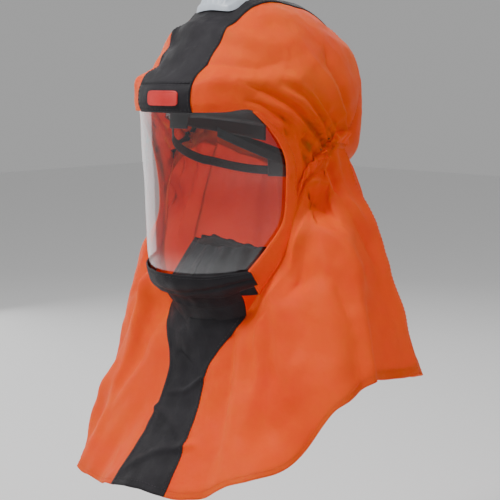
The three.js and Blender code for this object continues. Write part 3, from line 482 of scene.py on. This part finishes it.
# Folds of the head's cloth, on both sides: a path from the gathers outwards, width and height.
HEAD_CREASES = [
    ([(110, -38), (97, 33), (101, 54)], 5, -5.5), ([(99, -36), (82, 4), (74, 17)], 3.5, -5.5),
    ([(94, -40), (77, 0), (63, 16)], 3.5, -5.0), ([(90, -50), (71, -11), (57, 6), (42, 15)], 4, -6.0),
    ([(83, -57), (67, -24), (54, -7), (46, -3)], 3.5, -5.0), ([(79, -66), (72, -42), (64, -31)], 3, -4.5),
    ([(113, -42), (122, -10), (141, 10)], 6, -5.0), ([(128, -60), (134, -20), (128, 40)], 7, -3.0),
    ([(104, -38), (90, 22), (84, 44)], 6, 4.0), ([(96, -36), (79, 6), (66, 22)], 5, 4.0),
    ([(92, -44), (73, -4), (58, 12)], 5, 4.0), ([(86, -54), (69, -17), (52, 1)], 5, 3.6),
    ([(80, -62), (69, -34)], 4, 3.0), ([(22, 33), (50, 29), (84, 42)], 7, -3.2),
    ([(20, 16), (52, 15), (82, 20)], 8, 2.6), ([(30, 62), (62, 50), (88, 64)], 8, 2.2),
    ([(150, 20), (160, -60)], 8, 2.4), ([(168, 50), (176, -40)], 9, -2.2)]


def head_folds(points, angle, height):
    """How far the head's cloth stands out: gathers behind the temples, long creases, fine wrinkles."""
    side = np.abs(angle)
    across, up = (side - 92) * 1.9, height + 52
    reach = np.hypot(across, up)
    fan = np.arctan2(up, across)
    wander = 1.6 * soft_noise(points, 34, 1)
    ridges = 5.0 * (1 - 2 * np.abs(np.sin(6 * fan + wander)))
    gathers = ridges * np.exp(-reach / 22) * np.clip(reach / 7, 0, 1)
    gathers *= np.clip((up + 20) / 12, 0, 1)
    out = gathers + 2.6 * soft_noise(points, 52, 2) + 1.1 * soft_noise(points, 20, 3)
    out = out + 4.5 * bell(side - 124, 26) * bell(height + 26, 30)
    for path, width, depth in HEAD_CREASES:
        out = out + crease(side, height, path, width, depth)
    elevation = np.degrees(np.arctan2(points[..., 2], -points[..., 1]))
    over_brow = -3.0 * bell(elevation - 31, 5) + 2.6 * bell(elevation - 41, 6) - 1.6 * bell(elevation - 55, 6)
    out = out + over_brow * bell(points[..., 0], 58)
    sharp = 1 - np.abs(soft_noise(points * (1, 1, 0.6), 16, 5)) * 2
    return out + 0.6 * np.maximum(0, sharp)


def cape_folds(points, angle, part):
    """How far the cape stands out: falling folds, a tuck under each gather, slanting creases."""
    side = np.abs(angle)
    fall = np.clip(part, 0, 1)
    wander = 14 * soft_noise(points * (1, 1, 0.35), 80, 11)
    turn = np.radians(angle + wander)
    free = np.clip((side - 10) / 24, 0.12, 1)
    waves = 7.5 * np.cos(9 * turn + 0.6) + 4.6 * np.cos(15 * turn + 2.1) + 2.4 * np.cos(23 * turn + 4.0)
    out = waves * fall**0.9 * free
    out += 3.6 * np.cos(side * 0.62 + 0.14 * wander) * np.exp(-fall / 0.14) * np.clip((side - 56) / 14, 0, 1)
    out -= 17.0 * bell(side - 86, 17) * bell(fall - 0.15, 0.12)
    loose = np.clip((side - 10) / 16, 0.35, 1)
    billows = 3.6 * loose * soft_noise(points, 42, 21) * np.clip(fall * 5, 0, 1)
    out += billows + 1.1 * soft_noise(points, 16, 22)
    for both, path, width, depth in CAPE_CREASES:
        path = [(place, CAPE_LENGTH * down) for place, down in path]
        out = out + crease(side if both else angle, CAPE_LENGTH * fall, path, width, depth, CAPE_ARC)
    return out


# Creases of the cape: whether on both sides, a path of (angle, part of the way down), width and height.
CAPE_CREASES = [
    (1, [(78, 0.02), (90, 0.11), (99, 0.25), (106, 0.42)], 6, 7.5),
    (1, [(77, 0.07), (86, 0.19), (93, 0.36)], 5, -7.0),
    (1, [(80, 0.0), (92, 0.05), (102, 0.12)], 4, -5.5), (1, [(72, 0.1), (84, 0.34), (96, 0.7)], 7, 6.0),
    (1, [(68, 0.2), (78, 0.5), (84, 0.9)], 6, -5.0), (1, [(60, 0.1), (58, 0.5), (60, 0.95)], 8, 6.0),
    (1, [(95, 0.16), (104, 0.5), (106, 0.95)], 7, -6.0), (0, [(52, 0.16), (44, 0.5), (38, 0.95)], 8, 5.0),
    (0, [(34, 0.1), (30, 0.5), (30, 0.95)], 7, -4.0), (0, [(-58, 0.12), (-50, 0.5), (-40, 0.95)], 8, 5.5),
    (0, [(-66, 0.2), (-74, 0.95)], 8, -4.5), (0, [(14, 0.34), (2, 0.44), (-12, 0.46)], 4, 2.0),
    (0, [(-14, 0.55), (0, 0.62), (14, 0.74)], 4, 2.0), (0, [(-8, 0.2), (12, 0.3)], 4, -2.0),
    (0, [(16, 0.72), (0, 0.8), (-12, 0.94)], 5, 2.0), (0, [(140, 0.05), (136, 0.5), (130, 0.95)], 8, -5.0),
    (0, [(165, 0.05), (168, 0.5), (172, 0.95)], 8, 5.0), (0, [(-150, 0.05), (-146, 0.95)], 8, -5.0)]


# ---------------------------------------------------------------- stitching


def stitch_rows(name, rows, material, body, slot):
    """Thread stitches along rows of surface points; each row is (points, outward directions)."""
    pitch, length, half, rise = 4.2, 2.9, 0.35, 0.45
    corners, faces = [], []
    for line, normal in rows:
        steps = np.linalg.norm(np.diff(line, axis=0), axis=1)
        travelled = np.concatenate([[0], np.cumsum(steps)])
        for start in np.arange(pitch / 2, travelled[-1] - length, pitch):
            spots = [start, start + 0.15 * length, start + 0.85 * length, start + length]
            at = np.stack([np.interp(spots, travelled, line[:, k]) for k in range(3)], 1)
            up = np.array([np.interp(start, travelled, normal[:, k]) for k in range(3)])
            along = at[3] - at[0]
            across = np.cross(up, along)
            across = across / max(np.linalg.norm(across), 1e-6) * half
            low, high = at[[0, 3]] - up * 0.5, at[[1, 2]] + up * rise
            base = len(corners)
            corners += [low[0] + across, low[0] - across, low[1] - across, low[1] + across]
            corners += [high[0] + across * 0.7, high[0] - across * 0.7, high[1] - across * 0.7,
                        high[1] + across * 0.7]
            quads = ((3, 2, 1, 0), (4, 5, 6, 7), (0, 1, 5, 4), (1, 2, 6, 5), (2, 3, 7, 6), (3, 0, 4, 7))
            faces += [[base + k for k in quad] for quad in quads]
    finish_piece(add_mesh(name, (np.array(corners) * MM).tolist(), faces, material), body, slot)


def edge_rows(grid, inset, lift, sides="ends"):
    """The lines a distance inside a grid's edges: 'ends' are its first and last columns, 'tops' its rows."""
    normal = outward(grid)
    if sides == "tops":
        grid, normal = grid.transpose(1, 0, 2), normal.transpose(1, 0, 2)
    rows = []
    for edge, other in ((0, 1), (-1, -2)):
        step = np.linalg.norm(grid[:, other] - grid[:, edge], axis=1, keepdims=True)
        columns = max(1, int(round(inset / max(float(step.mean()), 1e-6))))
        pick = columns if edge == 0 else -1 - columns
        rows.append((grid[:, pick] + normal[:, pick] * lift, normal[:, pick]))
    return rows


# ---------------------------------------------------------------- the head of the hood

CLOTH = 0.7                # the thickness of the cloth
STITCHES_BLACK, STITCHES_ORANGE = [], []


def clear_of_brow(points):
    """0 under the brow band, where the cloth lies flat, and 1 a little way from it."""
    beside = (np.abs(points[..., 0]) - STRIPE_HALF + 2) / 16
    above = (points[..., 2] - BROW_TOP + 1) / 14
    return np.clip(np.where(points[..., 1] < 0, np.maximum(beside, above), 1.0), 0, 1)


def folded_head(grid):
    lift = head_folds(grid, ring_place(grid)[0], grid[..., 2]) * clear_of_brow(grid)
    return grid + outward(grid) * lift[..., None]


def tucked(grid, angle, down):
    """Draws the lowest rows of a panel in behind the neck, to where the cape begins."""
    behind = np.maximum(0, -np.cos(np.radians(angle)))**0.5
    factor = 1 - NAPE_TUCK * behind * np.clip((down - 0.9) / 0.1, 0, 1)**1.5
    return grid * np.stack([factor, factor, 0 * factor + 1], -1)


def edge_line(rows, fraction, sign=1.0):
    """A place on a smooth line through (angle, height) rows, as an angle and a level."""
    at = np.asarray(fraction) * (len(rows) - 1)
    angles, heights = np.array(rows, float).T
    return sign * through(angles, at), level_at(through(heights, at))


LENS_SIDE = [(50, -14), (59, -34), (66, -60), (68, -95), (67, -125), (59, -150), (50, -172)]
SURROUND = [(52, -14), (63, -34), (71, -60), (74, -95), (75, -127), (69, -159), (55, -199)]
CROWN_LOWER = [(18, BROW_BOTTOM + 1), (36, -14.5), (50, -13), (60, -34), (68, -60), (71, -92), (73, -118),
               (77, -94), (87, -74), (100, -57), (CAPE_SEAM, -62)]
BROW_LEVEL = math.degrees(math.atan2(BROW_TOP, 129))


def front_point(x, height):
    _, side, front, _ = ring_at(level_at(height))
    return np.stack([x, -front * np.sqrt(1 - (x / side)**2), height + 0 * x], -1)


def build_brow():
    down, along = grid_of(18, 44)
    smooth = front_point((2 * along - 1) * STRIPE_HALF, BROW_TOP + (BROW_BOTTOM - BROW_TOP) * down)
    rolled = 1.6 * (1 - np.abs(2 * down - 1)**4) + 0.25 * soft_noise(smooth, 12, 5)
    grid = smooth + outward(smooth) * rolled[..., None]
    band = solid_sheet("brow_band", grid, 2.2, BLACK, 0.4)
    finish_piece(band, BODY, "black_cloth", "brow_band")
    for inset in (2.2, 4.2):
        STITCHES_BLACK.extend(edge_rows(grid, inset, -0.3, "tops"))
    STITCHES_BLACK.extend(edge_rows(grid, 2.2, -0.3))


def build_label():
    """A blank moulded label with rounded corners and a raised border."""
    half, tall, centre = 19.0, 6.6, (6.0, -1.5)
    down, along = grid_of(20, 36)
    u, v = 2 * along - 1, 1 - 2 * down
    corner = 0.16
    u = u * (1 - corner * np.abs(v)**8 * (tall / half))
    v = v * (1 - corner * np.abs(u)**12)
    smooth = front_point(centre[0] + u * half, centre[1] + v * tall)
    border = np.maximum(np.abs(u)**14, np.abs(v)**10)
    rise = 2.3 + 0.45 * border
    grid = smooth + outward(smooth) * rise[..., None]
    label = solid_sheet("brow_label", grid, 1.4, RED)
    finish_piece(label, BODY, "label_red", "brow_label")


def build_stripe():
    down, along = grid_of(110, 34)
    elevation = BROW_LEVEL - 1.0 + (TONGUE_ANGLE - BROW_LEVEL + 1.0) * down
    point = 1 - 0.06 * np.clip((down - 0.9) / 0.1, 0, 1)**1.5
    smooth = crown_point((2 * along - 1) * STRIPE_HALF * point, elevation)
    grid = folded_head(smooth) + outward(smooth) * 0.5
    stripe = solid_sheet("crown_stripe", grid, CLOTH, BLACK)
    finish_piece(stripe, BODY, "black_cloth", "crown_stripe")
    STITCHES_BLACK.extend(edge_rows(grid, 2.6, 0.0))


def build_crown_panels():
    for name, sign in (("left", 1.0), ("right", -1.0)):
        down, along = grid_of(70, 130)
        elevation = BROW_LEVEL - 2.0 + (TONGUE_ANGLE + 1 - BROW_LEVEL) * along
        upper = ring_place(crown_point(sign * (STRIPE_HALF - 3.5) + 0 * along, elevation))
        lower = edge_line(CROWN_LOWER, along, sign)
        angle = upper[0] + (lower[0] - upper[0]) * down
        level = upper[1] + (lower[1] - upper[1]) * down
        smooth = ring_point(angle, level)
        grid = tucked(folded_head(smooth), angle, down)
        panel = solid_sheet(f"crown_panel_{name}", grid, CLOTH, ORANGE, 0.4)
        finish_piece(panel, BODY, "orange_cloth", f"crown_panel_{name}")
        STITCHES_ORANGE.append(edge_rows(grid, 3.0, -0.2)[1])


def build_rear_panel():
    down, along = grid_of(70, 90)
    upper = crown_point((1 - 2 * along) * (STRIPE_HALF - 1), TONGUE_ANGLE - 3.0 + 0 * along)
    upper_angle, upper_level = ring_place(upper)
    upper_angle = np.where(upper_angle < 0, upper_angle + 360, upper_angle)
    lower_angle = CAPE_SEAM - 1.5 + (363 - 2 * CAPE_SEAM) * along
    round_it = np.where(lower_angle > 180, lower_angle - 360, lower_angle)
    lower_level = level_at(neck_height(round_it) - 7)
    smooth = ring_point(upper_angle + (lower_angle - upper_angle) * down,
                        upper_level + (lower_level - upper_level) * down)
    grid = tucked(folded_head(smooth), upper_angle + (lower_angle - upper_angle) * down, down)
    panel = solid_sheet("rear_panel", grid, CLOTH, ORANGE, 1.1)
    finish_piece(panel, BODY, "orange_cloth", "rear_panel")


def build_surrounds():
    for name, sign in (("left", 1.0), ("right", -1.0)):
        down, along = grid_of(14, 90)
        inner, outer = edge_line(LENS_SIDE, along, sign), edge_line(SURROUND, along, sign)
        smooth = ring_point(inner[0] + (outer[0] - inner[0]) * down, inner[1] + (outer[1] - inner[1]) * down)
        roll = 1.2 * np.sqrt(np.maximum(0, 1 - np.abs(2 * down - 1)**3)) + 0.4 * soft_noise(smooth, 16, 6)
        grid = smooth + outward(smooth) * roll[..., None]
        band = solid_sheet(f"visor_surround_{name}", grid, 1.0, ORANGE, -0.5)
        finish_piece(band, BODY, "orange_cloth", f"visor_surround_{name}")
        STITCHES_ORANGE.extend(edge_rows(grid, 2.4, 0.5, "tops"))


def build_lens():
    down, along = grid_of(40, 100)
    reach, corner = 70.0, 53.0
    angle = (2 * along - 1) * reach
    past = np.maximum(0, np.abs(angle) - corner) / (reach - corner)
    top = (BROW_BOTTOM + 5) + (-62 - BROW_BOTTOM - 5) * past**1.6
    foot = -183 + (-134 + 183) * past**1.6
    grid = ring_point(angle, level_at(top + (foot - top) * down))
    lens = solid_sheet("visor_lens", grid, 0.8, LENS, 2.7)
    finish_piece(lens, BODY, "lens_clear", "visor_lens")


CHIN_FOOT = [(0, -204), (30, -201), (55, -188)]
CHIN_TOP = [(0, -178), (28, -177), (51, -172)]


def build_chin_and_throat():
    down, along = grid_of(34, 90)
    part, sign = np.abs(2 * along - 1), np.where(along < 0.5, -1.0, 1.0)
    upper, lower = edge_line(CHIN_TOP, part), edge_line(CHIN_FOOT, part)
    angle = upper[0] + (lower[0] - upper[0]) * down
    smooth = ring_point(sign * angle, upper[1] + (lower[1] - upper[1]) * down)
    bulge = 3.4 * np.sin(np.pi * down)**0.8 + 1.3 * soft_noise(smooth * (1, 1, 2.2), 26, 7)
    bulge += 0.6 * soft_noise(smooth, 10, 8) - 1.5 * bell(down - 0.55 + 0.1 * np.sin(9 * along), 0.08)
    grid = smooth + outward(smooth) * bulge[..., None]
    chin = solid_sheet("chin_panel", grid, CLOTH, BLACK, -0.1)
    finish_piece(chin, BODY, "black_cloth", "chin_panel")
    STITCHES_BLACK.append(edge_rows(grid, 2.6, 0.1, "tops")[0])

    def lowered(reach, drop):
        angle = (2 * along - 1) * reach
        place = edge_line(CHIN_FOOT, np.abs(angle) / 55)
        return angle, level_at(ring_at(place[1])[0] - drop)

    folded = (("neck_cuff", 44.0, -3.0, 13.0, 1.2), ("throat_panel", 44.0, 10.0, None, 2.6))
    for name, reach, drop, foot, depth in folded:
        upper = lowered(reach, drop)
        lower = lowered(reach, foot) if foot else (upper[0], level_at(neck_height(upper[0]) - 4))
        smooth = ring_point(upper[0] + (lower[0] - upper[0]) * down, upper[1] + (lower[1] - upper[1]) * down)
        ribs = 0.5 * np.sin(along * 260) * (foot is not None) + 0.8 * soft_noise(smooth, 14, 9)
        grid = smooth + outward(smooth) * ribs[..., None]
        piece = solid_sheet(name, grid, CLOTH, BLACK, depth)
        finish_piece(piece, BODY, "black_cloth", name)


# ---------------------------------------------------------------- the cape


def cape_grid(start, end, rows, columns):
    down, along = grid_of(rows, columns)
    part = -0.035 + 1.035 * down
    angle = start(part) + (end(part) - start(part)) * along
    round_it = np.where(angle > 180, angle - 360, angle)
    smooth = cape_point(round_it, part)
    at_neck = np.clip(1 - part / 0.07, 0, 1)
    head = head_folds(smooth, round_it, smooth[..., 2]) - 1.8
    folds = cape_folds(smooth, round_it, part) * (1 - at_neck) + head * at_neck
    grid = smooth + outward(smooth) * folds[..., None]
    grid[..., 2] += 2.6 * np.clip((part - 0.8) / 0.2, 0, 1) * soft_noise(smooth * (1, 1, 0.2), 26, 31)
    return smooth, grid


def hem_of(grid, name, material, slot):
    """A turned-up hem: a second strip of cloth along the foot of a panel."""
    strip = grid[-5:]
    hem = solid_sheet(name, strip, 0.7, material, CLOTH + 0.1)
    finish_piece(hem, BODY, slot)
    return hem


def bib_edge(part):
    return bib_angle(np.clip(part, 0, 1))


def build_cape():
    seam = CAPE_SEAM
    # Each panel's name, its first and last angle at a part of the way down, columns, depth, cloth.
    panels = [
        ("bib_stripe", lambda p: -bib_edge(p), bib_edge, 40, -0.3, BLACK),
        ("cape_left", lambda p: bib_edge(p) - 1, lambda p: seam + 1 + 0 * p, 90, 0.5, ORANGE),
        ("cape_right", lambda p: -seam - 1 + 0 * p, lambda p: 1 - bib_edge(p), 90, 0.5, ORANGE),
        ("cape_rear", lambda p: seam + 0 * p, lambda p: 360 - seam + 0 * p, 110, 1.3, ORANGE),
    ]
    for name, start, end, columns, depth, material in panels:
        smooth, grid = cape_grid(start, end, 90, columns)
        slot = "black_cloth" if material is BLACK else "orange_cloth"
        panel = solid_sheet(name, grid, CLOTH, material, depth)
        hem = hem_of(grid - outward(grid) * depth, f"{name}_hem", material, slot)
        finish_piece(panel, BODY, slot, name)
        rows = STITCHES_BLACK if material is BLACK else STITCHES_ORANGE
        rows.append(edge_rows(grid, 7.0, -depth, "tops")[1])
        if name != "cape_rear":
            rows.extend(edge_rows(grid, 3.0, -depth))


# ---------------------------------------------------------------- gathers and neck seal


def build_gathers():
    for name, sign in (("left", 1.0), ("right", -1.0)):
        down, along = grid_of(8, 120)
        side = 74.5 + 34 * along
        smooth = ring_point(sign * side, level_at(neck_height(side) + 12 - 12 * down))
        ruck = 2.2 * np.abs(np.sin(along * 34 + 0.9 * np.sin(11 * along))) + 1.4 * np.sin(np.pi * down)
        grid = folded_head(smooth) + outward(smooth) * (ruck + 0.4)[..., None]
        casing = solid_sheet(f"gather_casing_{name}", grid, 0.8, ORANGE)
        finish_piece(casing, BODY, "orange_cloth", f"gather_casing_{name}")
    down, along = grid_of(4, 160)
    angle = 80 + 200 * along
    round_it = np.where(angle > 180, angle - 360, angle)
    smooth = ring_point(round_it, level_at(neck_height(round_it) + 14 - 8 * down))
    ribbed = folded_head(smooth) + outward(smooth) * (0.3 * np.sin(along * 300))[..., None]
    elastic = solid_sheet("gather_elastic", tucked(ribbed, round_it, 1.0 + 0 * down), 0.9, WEBBING, 2.4)
    finish_piece(elastic, BODY, "webbing", "gather_elastic")


SEAL_TOP, SEAL_DROP = -156.0, 44.0    # the height of the seal's inner edge, and how far it falls
SEAL_FALL = 0.35                      # how much lower its inner edge is for each mm behind the middle


def build_neck_seal():
    inner = {"side": 58.0, "front": 62.0, "rear": 66.0}
    outer = {"side": 80.0, "front": 96.0, "rear": 86.0}

    def funnel(part, along, outset):
        turn = along * 2 * np.pi
        size = {key: inner[key] + (outer[key] - inner[key]) * part + outset for key in inner}
        depth = np.where(np.cos(turn) >= 0, size["front"], size["rear"])
        y = -depth * np.cos(turn)
        fall = SEAL_FALL * np.maximum(0, y) * (1 - part)
        return np.stack([size["side"] * np.sin(turn), y, SEAL_TOP - SEAL_DROP * part - fall], -1)

    down, along = grid_of(30, 180)
    smooth = funnel(down, along, 0.0)
    pleats = 2.2 * np.cos(along * 2 * np.pi * 19 + np.sin(down * 3)) * (1.1 - down)
    lumps = 2.5 * np.cos(along * 2 * np.pi * 3 + 1.0) * down
    grid = smooth + outward(smooth) * (pleats + lumps)[..., None]
    seal = solid_sheet("neck_seal", grid, 0.9, BLACK)
    finish_piece(seal, BODY, "black_cloth", "neck_seal")
    down, along = grid_of(6, 180)
    smooth = funnel(0.02 + 0.2 * down, along, -3.2)
    ribs = 0.35 * np.cos(along * 2 * np.pi * 90) + 0.5 * np.sin(np.pi * down)
    elastic = solid_sheet("neck_seal_elastic", smooth + outward(smooth) * ribs[..., None], 1.1, WEBBING)
    finish_piece(elastic, BODY, "webbing", "neck_seal_elastic")


# ---------------------------------------------------------------- crown cap


def build_cap():
    """A low ribbed cap on the crown, with rounded corners and a raised rim."""
    cap_y, half_x, half_y = -38.0, 28.0, 24.0
    down, along = grid_of(56, 64)
    u, v = 2 * along - 1, 1 - 2 * down
    round_u, round_v = u * np.sqrt(1 - 0.28 * v**4), v * np.sqrt(1 - 0.28 * u**4)
    x, y = round_u * half_x, cap_y + round_v * half_y
    foot = crown_point(x, np.degrees(np.arctan2(88.0, -y)))
    edge = np.maximum(np.abs(u), np.abs(v))
    rise = 9.0 * (1 - edge**5) + 0.6
    ribs = 0.9 * np.clip(np.cos(u * np.pi * 6.5) * 3, -1, 1) * np.clip((0.86 - edge) * 12, 0, 1)
    rim = 0.8 * bell(edge - 0.9, 0.035)
    top = foot + np.stack([0 * x, 0 * x, rise + ribs + rim], -1)
    rows, columns = top.shape[:2]
    points = np.concatenate([top.reshape(-1, 3), (foot + (0, 0, 0.4)).reshape(-1, 3)]) * MM
    faces, walls = layer_faces(rows, columns)
    every = np.concatenate([faces[:, ::-1], faces + rows * columns, walls[:, ::-1]])
    corner = points[every[0]]
    if np.cross(corner[1] - corner[0], corner[3] - corner[0])[2] < 0:
        every = every[:, ::-1]
    cap = add_mesh("crown_cap_fine", points.tolist(), every.tolist(), GREY, [True] * len(every))
    finish_piece(cap, BODY, "grey_plastic", "crown_cap")


# ---------------------------------------------------------------- head harness


BAND = {"side": 80.0, "front": 98.0, "rear": 94.0}
BAND_WIDTH, BAND_END_ANGLE = 22, 146


def band_height(angle):
    return -8.0 - 38.0 * (1 - np.cos(np.radians(angle))) / 2


def band_point(angle, rise, outset):
    turn = np.radians(angle)
    power = np.where(np.cos(turn) < 0, 2 / 2.5, 1.0)
    depth = np.where(np.cos(turn) < 0, BAND["rear"], BAND["front"]) + outset
    x = (BAND["side"] + outset) * np.sign(np.sin(turn)) * np.abs(np.sin(turn))**power
    y = -depth * np.sign(np.cos(turn)) * np.abs(np.cos(turn))**power
    return np.stack([x, y, band_height(angle) + rise], -1)


def build_band():
    down, along = grid_of(10, 150)
    smooth = band_point((2 * along - 1) * BAND_END_ANGLE, BAND_WIDTH * (0.5 - down), 0.0)
    lip = 0.6 * np.abs(2 * down - 1)**6
    grid = smooth + outward(smooth) * lip[..., None]
    band = solid_sheet("headband", grid, 1.6, DARK)
    finish_piece(band, BODY, "black_plastic", "headband")


def padded_piece(name, grid, thickness, material, slot, channels, node):
    """A pad that is full between its sewn channels and pinched in at its edges."""
    rows, columns = grid.shape[:2]
    v, u = np.meshgrid(np.linspace(-1, 1, rows), np.linspace(-1, 1, columns), indexing="ij")
    crown = np.sqrt(np.maximum(0, 1 - np.abs(v)**4)) * np.sqrt(np.maximum(0, 1 - np.abs(u)**12))
    sewn = 1 - 0.5 * np.exp(-((np.abs(np.cos(u * np.pi * channels / 2))) / 0.16)**2)
    full = 0.12 + 0.88 * crown * sewn
    normal = outward(grid)
    outer = grid + normal * (full * thickness * 0.5)[..., None]
    piece = solid_sheet(name, outer, 0.0, material)
    points = np.array([vertex.co for vertex in piece.data.vertices])
    inner = (grid - normal * (full * thickness * 0.5)[..., None]).reshape(-1, 3) * MM
    points[rows * columns:] = inner
    piece.data.vertices.foreach_set("co", points.ravel())
    piece.data.polygons.foreach_set("use_smooth", [True] * len(piece.data.polygons))
    piece.data.update()
    finish_piece(piece, BODY, slot, node)


def build_pads():
    down, along = grid_of(16, 110)
    sweat = band_point((2 * along - 1) * 70, 26 * (0.5 - down), -3.8)
    padded_piece("sweatband", sweat, 3.2, FOAM, "foam", 14, "sweatband")
    down, along = grid_of(22, 44)
    turn = np.radians((2 * along - 1) * 30)
    pad = np.stack([76 * np.sin(turn), 81.5 * np.cos(turn), -66.0 - 28 * down], -1)
    padded_piece("nape_pad", pad, 5.0, FOAM, "foam", 3, "nape_pad")


def strap_piece(name, smooth, thickness):
    down = np.linspace(-1, 1, smooth.shape[0])[:, None]
    edge = 0.3 * np.exp(-((np.abs(down) - 0.8) / 0.12)**2)
    rib = 0.12 * np.sin(np.linspace(0, smooth.shape[1] * 1.4, smooth.shape[1]))[None, :]
    strap = solid_sheet(name, smooth + outward(smooth) * (edge + rib)[..., None], thickness, WEBBING)
    finish_piece(strap, BODY, "webbing", name)


def build_straps():
    down, along = grid_of(8, 120)
    offset = (2 * down - 1) * 9.0
    turn = np.pi * along
    for name, across, outset in (("crown_strap_across", True, 3.0), ("crown_strap_along", False, 0.0)):
        height = -22 + (106 + outset) * np.sin(turn)**0.8
        depth = np.where(np.cos(turn) > 0, 90.0, 86.0) + outset
        reach = -(77.0 if across else depth) * np.cos(turn)
        smooth = np.stack([reach, offset, height] if across else [offset, reach, height], -1)
        strap_piece(name, smooth, 1.1)
    for name, sign in (("left", 1.0), ("right", -1.0)):
        down, along = grid_of(6, 110)
        point = band_point(26 + 124 * along, 0.0, -6 - 6 * along)
        height = -8.0 - 22 - 52 * np.sin(along * np.pi / 2) - 10 * down
        smooth = np.stack([sign * point[..., 0], point[..., 1], height], -1)
        strap_piece(f"nape_strap_{name}", smooth, 1.1)


def build_duct():
    down, along = grid_of(160, 16)
    smooth = crown_point((2 * along - 1) * 18, 26 + 142 * down)
    round_side = 1.0 - np.abs(2 * along - 1)**3
    rings = 0.5 * np.sin(down * 340)
    lift = round_side * 1.6 + rings * round_side - 1.2
    duct = solid_sheet("air_duct", smooth + outward(smooth) * lift[..., None], 4.6, BLACK, 5.4)
    finish_piece(duct, BODY, "black_cloth", "air_duct")


# ---------------------------------------------------------------- hard pieces kept from the frame

HARD = {
    DARK: ["brow_bracket", "ratchet_back_plate", "ratchet_cover", "rack_strap_left", "rack_strap_right",
           "ratchet_knob", "brow_outlet", "inlet_flange", "inlet_ring_nut", "hose_socket"],
    GREY: ["crown_backing_plate"],
    RUBBER: ["inlet_gasket"],
    STEEL: ["ratchet_pinion"],
}


def dress_hard_pieces():
    for material, nodes in HARD.items():
        for node in nodes:
            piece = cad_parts[node]
            for slot in piece.material_slots:
                slot.material = material


add_camera()
add_studio()
build_brow()
build_label()
build_stripe()
build_crown_panels()
build_rear_panel()
build_surrounds()
build_lens()
build_chin_and_throat()
build_cape()
build_gathers()
build_neck_seal()
build_cap()
build_band()
build_pads()
build_straps()
build_duct()
stitch_rows("stitches_black", STITCHES_BLACK, THREAD, BODY, "black_cloth")
stitch_rows("stitches_orange", STITCHES_ORANGE, ORANGE_THREAD, BODY, "orange_cloth")
dress_hard_pieces()
